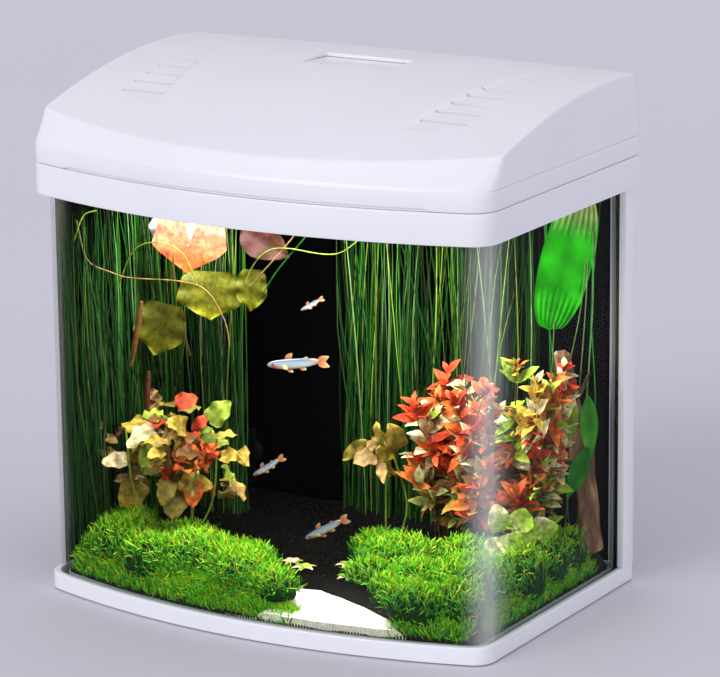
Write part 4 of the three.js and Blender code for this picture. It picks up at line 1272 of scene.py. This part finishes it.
def grass(name, node, count, glow, lean=(0, 0), extra=()):
    """A stand of long narrow blades that fills a CAD block. glow(s, h) is how much painted light a blade gets
    there.
    """
    low, high = box_mm(node)
    heap = Heap()
    rows = 9
    base = draws.uniform(low, high, (count, 3))
    base[:, 2] = SOIL_TOP - 1
    longest_cut = 120
    top = high[2] - draws.uniform(0, 1, count) ** 3 * longest_cut
    t = np.linspace(0, 1, rows)
    rise = base[:, 2, None] + (top - base[:, 2])[:, None] * t
    sway = draws.normal(0, 1, (count, 2, 1)) * draws.choice([4, 12, 30], (count, 1, 1)) * t**1.4
    waver = draws.normal(0, 1, (count, 2, 1)) * 2.2
    sway = sway + waver * np.sin(math.pi * (t * 2 + draws.uniform(0, 1, (count, 1, 1))))
    x = np.clip(base[:, 0, None] + sway[:, 0] + lean[0] * t, low[0] + 0.8, high[0] - 0.8)
    y = np.clip(base[:, 1, None] + sway[:, 1] + lean[1] * t, low[1] + 0.8, high[1] - 0.8)
    paths = np.stack([x, y, rise], -1)
    long_way = 0 if high[0] - low[0] > high[1] - low[1] else 1
    share = (paths[..., long_way] - low[long_way]) / (high - low)[long_way]
    # Painted light: about a third of the blades take lit copies of the greens, the rest dark shaded copies;
    # glow spreads the painted light over the stand.
    lit = np.where(draws.uniform(size=(count, 1)) < 0.32, 3.2, 0.25) * draws.uniform(0.4, 1.2, (count, 1))
    painted_light_share = np.clip(glow(share, (rise - low[2]) / (high - low)[2]) * lit, 0, 1)[..., None]
    dark = picked([(0.002, 0.012, 0.002), (0.003, 0.03, 0.004), (0.006, 0.05, 0.006)], count)[:, None]
    light = picked([BRIGHT_GREEN, LIME, PALE_GREEN, MID_GREEN], count)[:, None] * 0.42
    width = draws.uniform(0.45, 1.0, (count, 1)) * np.clip(1.15 - t**4, 0.12, 1)
    facing = np.cross(VIEWER + draws.normal(0, 0.4, (count, 1, 3)), (0, 0, 1.0))
    strands(heap, paths, width, blended(dark, light, painted_light_share), side=facing, flat=0.25)
    for points, tint in extra:
        strands(heap, route(points, 24)[None], 0.9, np.array(tint), flat=0.9, sides=5)
    heap.finish(name, GRASS, replaces=[node], slot="grass")


def build_grass():
    # Painted light: on the left stand a pool of it high up, part way along; on the rear stands the blades get
    # lighter towards their tops.
    grass("grass_left_blades", "grass_left", 260,
          lambda s, h: 1.1 * np.exp(-(((s - 0.72) / 0.26) ** 2)) * ease(h, 0.3, 0.75) + 0.12, lean=(0, -8))
    grass("grass_rear_left_blades", "grass_rear_left", 80, lambda s, h: 0.14 + 0.3 * ease(h, 0.5, 1))
    stems = []
    for x, lean in ((122, 16), (131, -8), (140, 22), (128, 34), (150, 14), (158, 6), (146, -20), (162, 8)):
        sway = draws.normal(0, 3, 2)
        base, top = np.array((x, 108, SOIL_TOP)), np.array((x + lean, 106, 292))
        lower, upper = (blended(base, top, t) + (x, 0, 0) for t, x in zip((0.4, 0.7), sway))
        stems.append(([base, lower, upper, top], np.array(PALE_GREEN) * 0.3 if lean > 12 else MID_GREEN))
    grass("grass_rear_right_blades", "grass_rear_right", 270,
          lambda s, h: 0.15 + 0.26 * ease(h, 0.15, 0.8) * (1 - 0.3 * s), lean=(4, 0), extra=stems)


def build_stem_plants():
    """A bush of fine stems, each with pairs of small pointed leaves that colour up towards the light."""
    heap = Heap()
    low, high = box_mm("stem_plants")
    stems = 44
    gold = (0.7, 0.45, 0.06)
    warm = [ORANGE, ORANGE, RED_ORANGE, RED_ORANGE, CREAM, gold, DARK_RED]
    cool = [LIME, ORANGE, CREAM, gold, ORANGE, YELLOW_GREEN, RED_ORANGE]
    for _ in range(stems):
        x0, y0 = draws.uniform(low[:2] + (6, 14), high[:2] - (10, 12))
        across = (x0 - low[0]) / (high - low)[0]
        reach = draws.uniform(0.35, 1) * (high[2] - 14 - SOIL_TOP) * (0.82 + 0.3 * across)
        reach = min(reach, high[2] - 6 - SOIL_TOP)
        lean = draws.normal(0, 14, 2) + ((across - 0.5) * 34, 0)
        t = np.linspace(0, 1, 8)
        path = np.column_stack([x0 + lean[0] * t**2, y0 + lean[1] * t**2, SOIL_TOP + reach * t])
        path[:, :2] = np.clip(path[:, :2], low[:2] + 4, high[:2] - 6)
        strands(heap, path[None], [[1.3] * 6 + [1.0, 0.4]], np.array(BROWN) * 0.8, flat=0.9, sides=6)
        whorls = int(reach / 8)
        share = np.repeat(np.append(draws.uniform(0.3, 0.97, whorls - 1), 1.0), 4)
        count = len(share)
        spots = np.column_stack([np.interp(share, t, path[:, i]) for i in range(3)])
        angle = draws.uniform(0, 6.28, count)
        rise = 0.4 + 0.8 * ease(share, 0.75, 1)
        ahead = np.column_stack([np.cos(angle), np.sin(angle), rise + draws.normal(0, 0.5, count)])
        palette = warm if draws.uniform() > across else cool
        main, other = (palette[i] for i in draws.integers(0, len(palette), 2))
        fresh = picked([main, main, other], count)
        old = picked([MID_GREEN, YELLOW_GREEN, OLIVE, BROWN], count)
        tint = blended(old, fresh, ease(share, 0.25, 0.75)[:, None])
        size = draws.uniform(10, 24, count) * (1 - 0.35 * ease(share, 0.9, 1))
        face = np.array((0.2, -0.5, 0.8)) + draws.normal(0, 0.5, (count, 3))
        step = ahead * size[:, None]
        inside = in_tank(spots + step * 1.3, 1) & in_tank(spots + step * 0.5, 3)
        spots, ahead, face, size, tint = (values[inside] for values in (spots, ahead, face, size, tint))
        leaves(heap, spots, ahead, face, size, size * 0.42, tint, tip=np.minimum(tint * 1.6, 1),
               droop=draws.uniform(0.1, 0.9, len(size)), fold=0.25, wave=0.02)
    heap.finish("stem_plant_bush", LEAVES, replaces=["stem_plants"], slot="red_leaf")


def cluster(heap, centre, radii, root, count, palette, size, stalks, **settings):
    """Wavy leaves spread through an ellipsoid, some of them on stalks from one root."""
    spot = unit(draws.normal(size=(count, 3)))
    blades = np.array(centre) + spot * np.array(radii) * draws.uniform(0.3, 1, (count, 1))
    kept = in_tank(blades, 9)
    spot, blades, count = spot[kept], blades[kept], kept.sum()
    out = unit(spot * (1, 1, 0.4) + draws.normal(0, 0.6, (count, 3)) + (0.1, -0.2, 0))
    face = unit(VIEWER * 0.8 + (0, 0, 0.7) + draws.normal(0, 0.5, (count, 3)))
    tint = picked(palette, count)
    length = draws.uniform(*size, count)
    for shape, first, slim in (("heart", 0, 0.7), ("lance", 1, 0.42)):
        part = slice(first, None, 2)
        width = length[part] * draws.uniform(0.8, 1.3, len(length[part])) * slim
        leaves(heap, blades[part], out[part], face[part], length[part], width, tint[part] * 0.6,
               tip=tint[part] * 1.1, shape=shape, rows=14, columns=7, thick=0.5,
               droop=draws.uniform(0.1, 1.6, len(width)), **settings)
    for k, blade in enumerate(blades[:stalks * 2]):
        bow = (np.array(root) + blade) / 2 + (*draws.normal(0, 6, 2), -6)
        if k % 2:
            stalk = route([root + draws.normal(0, 2, 3), bow, blade], 10)
            strands(heap, stalk[None], 1.5, np.array(YELLOW_GREEN) * 0.6, flat=0.9, sides=6)


def build_lilies():
    """Two clumps of wavy leaves, pale lobed leaves in the right corner and sprouts on the open soil."""
    wavy = {"fold": 0.15, "wave": 0.08, "waves": 2.2}
    heap = Heap()
    root = np.array((-88, -62, SOIL_TOP + 2))
    amber = (0.62, 0.42, 0.06)
    autumn = [OLIVE, YELLOW_GREEN, TAN, amber, ORANGE, BROWN, amber, CREAM, OLIVE, RED_ORANGE]
    cluster(heap, (-114, -38, 96), (62, 32, 48), root, 90, autumn, (13, 28), 5, **wavy)
    roots = [
        route([root, root + (*draws.normal(0, 9, 2), 9), root + (*draws.normal(0, 14, 2), -3)], 9)
        for _ in range(16)
    ]
    strands(heap, roots, np.linspace(1.8, 0.5, 9), np.array(TAN) * 0.7, flat=0.9, sides=6)
    heap.finish("lily_left_leaves", LEAVES, replaces=["lily_left"], slot="yellow_leaf")

    heap = Heap()
    cluster(heap, middle("lily_right"), (16, 14, 16), (52, 0, SOIL_TOP + 2), 11,
            [OLIVE, TAN, amber], (15, 26), 2, **wavy)
    heap.finish("lily_right_leaves", LEAVES, replaces=["lily_right"], slot="yellow_leaf")

    heap = Heap()
    spots = np.array([
        (160, 20, 76), (152, 14, 66), (164, 24, 62), (160, 10, 56), (150, 6, 52), (140, 12, 64),
        (166, 40, 56),
    ])
    ahead = np.array((-0.4, -0.4, 0.3)) + draws.normal(0, 0.5, (7, 3))
    leaves(heap, spots, ahead, VIEWER, 21, 18, LIME, tip=(0.95, 0.85, 0.5), shape="heart",
           rows=14, columns=7, wave=0.06, droop=0.8, thick=0.5)
    for spot in spots:
        stalk = route([(152, 26, SOIL_TOP), (155, 22, 45), spot], 9)
        strands(heap, stalk[None], 1.3, YELLOW_GREEN, flat=0.9, sides=6)
    for x, y in ((30, -22), (45, -46), (52, -26), (-10, -34), (6, -44)):
        angle = np.linspace(0, 6.28, 7)[:-1] + x
        ahead = np.column_stack([np.cos(angle), np.sin(angle), np.full(6, 0.7)])
        base = np.tile((x, y, ground_height(np.array([x]), np.array([y]))[0]), (6, 1))
        leaves(heap, base, ahead, (0, 0, 1), 10, 5, picked([LIME, BLUSH, YELLOW_GREEN], 6), droop=0.9)
    heap.finish("pale_leaves", LEAVES, slot="green_leaf")


def build_floating_leaves():
    """Lily leaves held up near the surface, with trailing stalks and two catkins."""
    heap = Heap()
    big = {"rows": 22, "columns": 11, "thick": 0.6}
    leaves(heap, (-116, 4, 276), (0.05, -0.3, -0.95), VIEWER, 47, 56, (0.5, 0.16, 0.09),
           tip=(0.55, 0.11, 0.02), shape="kite", droop=0.25, wave=0.02, fold=0.12, **big)
    leaves(heap, (-124, 0, 276), (-0.3, -0.35, -0.9), VIEWER, 34, 34, (0.62, 0.55, 0.55),
           tip=(0.66, 0.58, 0.6), shape="kite", droop=0.3, wave=0.03, **big)
    leaves(heap, (-76, 8, 266), (0.9, -0.1, -0.35), VIEWER, 44, 28, (0.035, 0.006, 0.004),
           tip=(0.05, 0.018, 0.006), droop=0.4, wave=0.03, **big)
    pads = [((-98, 0, 232), (0.1, -0.3, -0.95), 36, 50), ((-140, 2, 202), (-0.05, -0.4, -0.9), 40, 40),
            ((-66, 6, 236), (0.05, -0.2, -0.97), 32, 24)]
    for place, ahead, length, width in pads:
        leaves(heap, place, ahead, VIEWER + (0, 0, 0.5), length, width, (0.1, 0.1, 0.004),
               tip=(0.26, 0.25, 0.008), shape="kite", turn=(0.5, 1), droop=0.4, wave=0.05, **big)
    stalks = [
        [(-172, -66, 276), (-168, -60, 246), (-155, -50, 236), (-140, -45, 232), (-100, -40, 233),
         (-80, -35, 227), (-68, -30, 205), (-64, -30, 186)],
        [(-71, 0, 223), (-60, 0, 243), (-47, 0, 254), (-30, 0, 257), (-3, 0, 256), (14, 0, 259),
         (32, 0, 272)],
        [(-66, 2, 224), (-30, 0, 262), (-20, 0, 276)],
        [(-16, 2, 268), (-40, 0, 240), (-58, 0, 214)],
        [(-126, -10, 250), (-122, -12, 222), (-116, -12, 190), (-112, -10, 168)],
        [(-165, -30, 210), (-150, -28, 246), (-130, -26, 256), (-108, -24, 250), (-96, -22, 226)],
        [(-172, -70, 262), (-166, -66, 280), (-158, -60, 284)],
    ]
    tints = [TAN, YELLOW_GREEN, TAN, MID_GREEN, BROWN, YELLOW_GREEN, LIME]
    for points, tint in zip(stalks, tints):
        strands(heap, route(points, 30)[None], 0.9, np.array(tint) * 0.6, flat=0.95, sides=6)
    catkins = [([(-141, -30, 211), (-146, -30, 186), (-152, -30, 160)], (0.16, 0.07, 0.012)),
               ([(-136, -30, 158), (-138, -30, 140), (-138, -30, 124)], (0.1, 0.025, 0.01))]
    steps = 90
    bristle = (4.4 + 0.8 * np.sin(np.arange(steps) * 2.1)) * np.sin(np.linspace(0.4, 2.7, steps)) ** 0.6
    bristle[[0, -1]] = 0.6
    for points, tint in catkins:
        strands(heap, route(points, steps)[None], bristle[None], np.array(tint), flat=0.95, sides=10)
    heap.finish("lily_leaves_floating", LEAVES, replaces=["floating_leaves"], slot="yellow_leaf")


def build_broad_leaf():
    """One large ribbed leaf at the right rear, paler where it starts, with a few blades beside it."""
    heap = Heap()
    leaves(heap, (159, 99, 299), (-0.25, 0.02, -0.97), VIEWER, 112, 38, (0.26, 0.34, 0.1),
           tip=(0.02, 0.46, 0.005), turn=(0.1, 0.34), shape="ribbon", rows=44, columns=17, fold=0.08,
           droop=0.12, wave=0.014, ribs=0.35, thick=0.8)
    blades = [
        ((168, 92, 150), (0.1, -0.1, -1), 50, 13, BRIGHT_GREEN),
        ((158, 90, 146), (-0.1, -0.2, -1), 38, 11, LIME),
        ((170, 88, 112), (-0.3, -0.2, -1), 44, 14, (0.04, 0.4, 0.03)),
        ((150, 84, 96), (-0.6, -0.2, -0.6), 26, 13, RED_ORANGE),
    ]
    for root, ahead, length, width, tint in blades:
        leaves(heap, root, ahead, VIEWER, length, width, np.array(tint) * 0.6, tip=tint, rows=20, columns=9,
               droop=0.3, wave=0.02, thick=0.5)
    heap.finish("broad_leaf_blade", BROAD, replaces=["broad_leaf"], slot="green_leaf")


def build_driftwood():
    """A gnarled trunk with a knot and three broken twigs."""
    heap = Heap()
    trunk = route([(166, 98, SOIL_TOP - 2), (163, 100, 80), (152, 100, 130), (141, 100, 178)], 64)
    sides, rows = 22, len(trunk)
    turn = 2 * math.pi * np.arange(sides) / sides
    t = np.linspace(0, 1, rows)[:, None]
    knot, foot = np.exp(-(((t - 0.45) / 0.05) ** 2)), np.exp(-((t / 0.08) ** 2))
    thick = 8.2 - 2.2 * t + 1.6 * knot + 1.8 * foot
    gnarl = 0.9 * np.sin(3 * turn + 7 * t) + 0.5 * np.sin(7 * turn - 13 * t)
    gnarl += 0.35 * np.sin(29 * t + 2 * turn)
    radius = thick + gnarl * (1 - 0.5 * t)
    radius[[0, -1]] *= 0.6
    ring = np.stack([np.cos(turn), np.sin(turn), 0.15 * np.sin(2 * turn)], -1)
    points = trunk[:, None] + ring * radius[..., None]
    heap.add(points, (1, 1, 1), loop_faces(rows, sides), caps(rows, sides))
    twigs = [
        [(160, 96, 86), (152, 88, 100), (140, 84, 108)],
        [(150, 96, 140), (162, 92, 152), (170, 90, 168)],
        [(164, 96, 50), (168, 84, 44), (171, 70, 34)],
    ]
    for points in twigs:
        strands(heap, route(points, 14)[None], np.linspace(6, 1.6, 14)[None], (1, 1, 1), flat=0.9, sides=9)
    heap.finish("driftwood_branch", WOOD, replaces=["driftwood"], slot="driftwood")


# ---------- fish ----------


def fish(name, nose, tail, depth):
    """A small ornamental fish: silver flanks, orange cheek, tail and fins."""
    heap = Heap()
    nose, tail = np.array(nose, float), np.array(tail, float)
    along = unit(tail - nose)
    up = unit(np.array((0, 0, 1.0)) - along * along[2])
    side = np.cross(up, along)
    length = np.linalg.norm(tail - nose)
    rows, sides = 26, 18
    t = np.linspace(0, 1, rows)[:, None]
    turn = 2 * math.pi * np.arange(sides)[None] / sides
    half = depth / 2 * (1.95 * (1 - t) ** 0.62 * t**0.45 + 0.26 * t**2 + 0.04)
    across = half * (0.52 - 0.25 * t)
    height = np.sin(turn) * half
    points = (nose + (t * length)[..., None] * along + (np.cos(turn) * across)[..., None] * side
              + (height - 0.08 * depth * np.sin(math.pi * t))[..., None] * up)
    level = np.sin(turn) * np.ones_like(t)
    tint = (0.42, 0.48, 0.56)
    # The colours of the back, the belly, the cheek and the root of the tail lie over one another.
    for colour, share in (
        ((0.07, 0.1, 0.14), ease(level, 0.1, 0.8)),
        ((0.86, 0.86, 0.82), ease(-level, -0.1, 0.5)),
        ((0.75, 0.1, 0.02), np.exp(-(((t - 0.13) / 0.08) ** 2)) * ease(-level, -0.6, 0.3)),
        ((0.6, 0.36, 0.2), ease(t, 0.8, 1) * np.ones_like(level)),
    ):
        tint = blended(tint, colour, share[..., None])
    heap.add(points, tint * 0.5, loop_faces(rows, sides), caps(rows, sides))

    orange, deep = (0.55, 0.3, 0.1), (0.4, 0.1, 0.04)
    at = lambda share, lift: nose + along * length * share + up * depth * lift
    fins = [
        (at(0.97, -0.02), along + up * 0.4, 0.26, 0.14), (at(0.97, -0.06), along - up * 0.45, 0.26, 0.14),
        (at(0.36, 0.36), along + up * 0.9, 0.2, 0.12), (at(0.7, 0.2), along + up * 0.7, 0.12, 0.07),
        (at(0.38, -0.5), along - up * 0.7, 0.15, 0.09), (at(0.62, -0.34), along - up * 0.6, 0.16, 0.11),
    ]
    for root, ahead, reach, width in fins:
        leaves(heap, root, ahead, side, reach * length, width * length, deep, tip=orange, rows=8, columns=7,
               fold=0, droop=0.2, ribs=0.08, thick=0.3)
    for sign in (-1, 1):
        eye = at(0.11, 0.06) + side * sign * depth * 0.17
        stations = np.array([0, 0.5, 0.8, 1.0])[:, None] * side * sign * depth * 0.07
        strands(heap, (eye + stations)[None], np.array([1, 1, 0.8, 0.3])[None] * depth * 0.2,
                (0.01, 0.01, 0.012), side=up, flat=1.0, sides=12)
        leaves(heap, at(0.3, -0.12) + side * sign * depth * 0.26, along - up * 0.6 + side * sign * 0.5, side,
               0.15 * length, 0.09 * length, orange, rows=6, columns=5, fold=0, thick=0.25)
    heap.finish(name, FISH)


def build_fish():
    """Four fish, each given by its centre, its length and how steeply it swims down."""
    shoal = [
        ((-26, -4, 172), 38, 0.06), ((-14, 2, 216), 16, 0.55), ((-52, -2, 88), 23, 0.62),
        ((2, -10, 50), 30, 0.5),
    ]
    for name, (centre, length, rise) in zip(numbered("fish", 4), shoal):
        half = unit(np.array((0.86, 0.5, rise))) * length / 2
        fish(name, np.array(centre) - half, np.array(centre) + half, length * 0.19)


build_ground()
build_moss()
build_grass()
build_stem_plants()
build_lilies()
build_floating_leaves()
build_broad_leaf()
build_driftwood()
build_fish()


# ---------- CAD pieces that stay ----------


def dress(names, material):
    """Gives CAD nodes a material, a small bevel and smooth round faces."""
    crease = 40
    for name in names:
        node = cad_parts[name]
        node.data.materials.clear()
        node.data.materials.append(material)
        node.data.polygons.foreach_set("material_index", np.zeros(len(node.data.polygons), np.int32))
        weld = node.modifiers.new("weld", "WELD")
        weld.merge_threshold = 0.01 * MM
        bevel = node.modifiers.new("bevel", "BEVEL")
        bevel.width = 0.3 * MM
        bevel.segments = 2
        bevel.limit_method = "ANGLE"
        bevel.angle_limit = math.radians(crease)
        tidy_shading(node.data, crease)


def dress_kept_nodes():
    both = lambda stem: [f"{stem}_left", f"{stem}_right"]
    rails = both("hatch_rail")
    dress([*both("rear_post"), *HINGE_LUGS, *rails, "switch_bezel", "lamp_housing"], WHITE)
    pump = ["pump_body", "pump_cover", "impeller", "flow_dial", "riser_pipe", "filter_tray"]
    dress(["light_switch", *pump], BLACK)
    dress([*both("hinge_pin"), "impeller_shaft", *numbered("lamp_screw", 4)], STEEL)
    dress([*numbered("foot_pad", 4), *both("suction_cup")], RUBBER)
    dress(["seam_bottom", *both("seam_rear")], SILICONE)
    dress(["rear_glass", "bottom_glass"], GLASS_LOOK)
    dress(["backdrop_rear", "backdrop_left"], FILM)
    dress(["filter_sponge"], SPONGE)
    dress(["led_board"], BOARD)
    dress(["lamp_lens"], COVER)


LAMP_WATTS = 3.6
LAMP_DROP = 1.5


def build_lamp():
    """The hood lamp's own light, just under its cover."""
    low, high = box_mm("lamp_lens")
    x, y, _ = middle("lamp_lens")
    data = bpy.data.lights.new("lamp_light", "AREA")
    data.shape = "RECTANGLE"
    data.size, data.size_y = (high - low)[0] * MM, (high - low)[1] * MM
    data.energy = LAMP_WATTS
    lamp = add_object("lamp_light", data)
    lamp.location = Vector((x, y, low[2] - LAMP_DROP)) * MM
    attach(lamp, "hood")
    lit = bpy.data.collections.new("lit_by_lamp")
    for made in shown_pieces():
        if made.data.materials[0] in (GRASS, MOSS, LEAVES, BROAD, WOOD, SAND, FISH):
            lit.objects.link(made)
    lamp.light_linking.receiver_collection = lit


dress_kept_nodes()
build_lamp()


# ---------- camera, light and floor ----------


def build_camera():
    """Placed in millimetres, with its turns in radians and its lens in millimetres on a 36 mm sensor."""
    place = Vector((1386.79, -2270.85, 882.55)) * MM
    yaw, pitch, roll = 0.5388, 0.2537, -0.0104
    level = math.cos(pitch)
    ahead = Vector((-math.sin(yaw) * level, math.cos(yaw) * level, -math.sin(pitch)))
    right = Vector((math.cos(yaw), math.sin(yaw), 0))
    up = right.cross(ahead)
    turn = Matrix((right, up, -ahead)).transposed() @ Matrix.Rotation(roll, 3, "Z")
    data = bpy.data.cameras.new("camera")
    data.lens = 188.25
    data.sensor_width = 36
    data.sensor_fit = "HORIZONTAL"
    data.clip_start, data.clip_end = 0.1, 60
    camera = add_object("camera", data)
    camera.matrix_world = Matrix.Translation(place) @ turn.to_4x4()
    bpy.context.scene.camera = camera


def soft_light(name, place, strength, colour=(1, 1, 1)):
    """Even light over the whole floor, from a wide soft source in that direction."""
    data = bpy.data.lights.new(name, "SUN")
    data.angle = 0.65
    data.energy = strength
    data.color = colour
    lamp = add_object(name, data)
    lamp.location = place
    lamp.rotation_mode = "QUATERNION"
    lamp.rotation_quaternion = (-Vector(place)).to_track_quat("-Z", "Y")


def build_studio():
    world = bpy.data.worlds.new("studio")
    bpy.context.scene.world = world
    world.use_nodes = True
    sky = world.node_tree.nodes["Background"].inputs
    sky["Color"].default_value = (0.93, 0.93, 1.0, 1)
    sky["Strength"].default_value = 0.62

    soft_light("key", (-0.9, -2.6, 1.3), 1.33)
    soft_light("low front", (0.8, -2.4, 0.12), 0.3)
    soft_light("top", (0.1, 0.4, 2.6), 0.24, (0.97, 0.97, 1))
    soft_light("right", (2.6, -0.6, 0.7), 0.5, (0.95, 0.96, 1))

    around = 48
    points = np.vstack([[(0, 0)], *(circle(0, 0, radius, around) for radius in (0.8, 3, 9))])
    faces = [(0, 1 + i, 1 + (i + 1) % around) for i in range(around)]
    faces += shifted([face[::-1] for face in loop_faces(3, around)], 1)
    mesh = bpy.data.meshes.new("floor")
    mesh.from_pydata(at_height(points, 0), [], faces)
    mesh.materials.append(pale_floor("floor"))
    floor = add_object("floor", mesh)
    bpy.context.scene.view_settings.view_transform = "Standard"


build_camera()
build_studio()
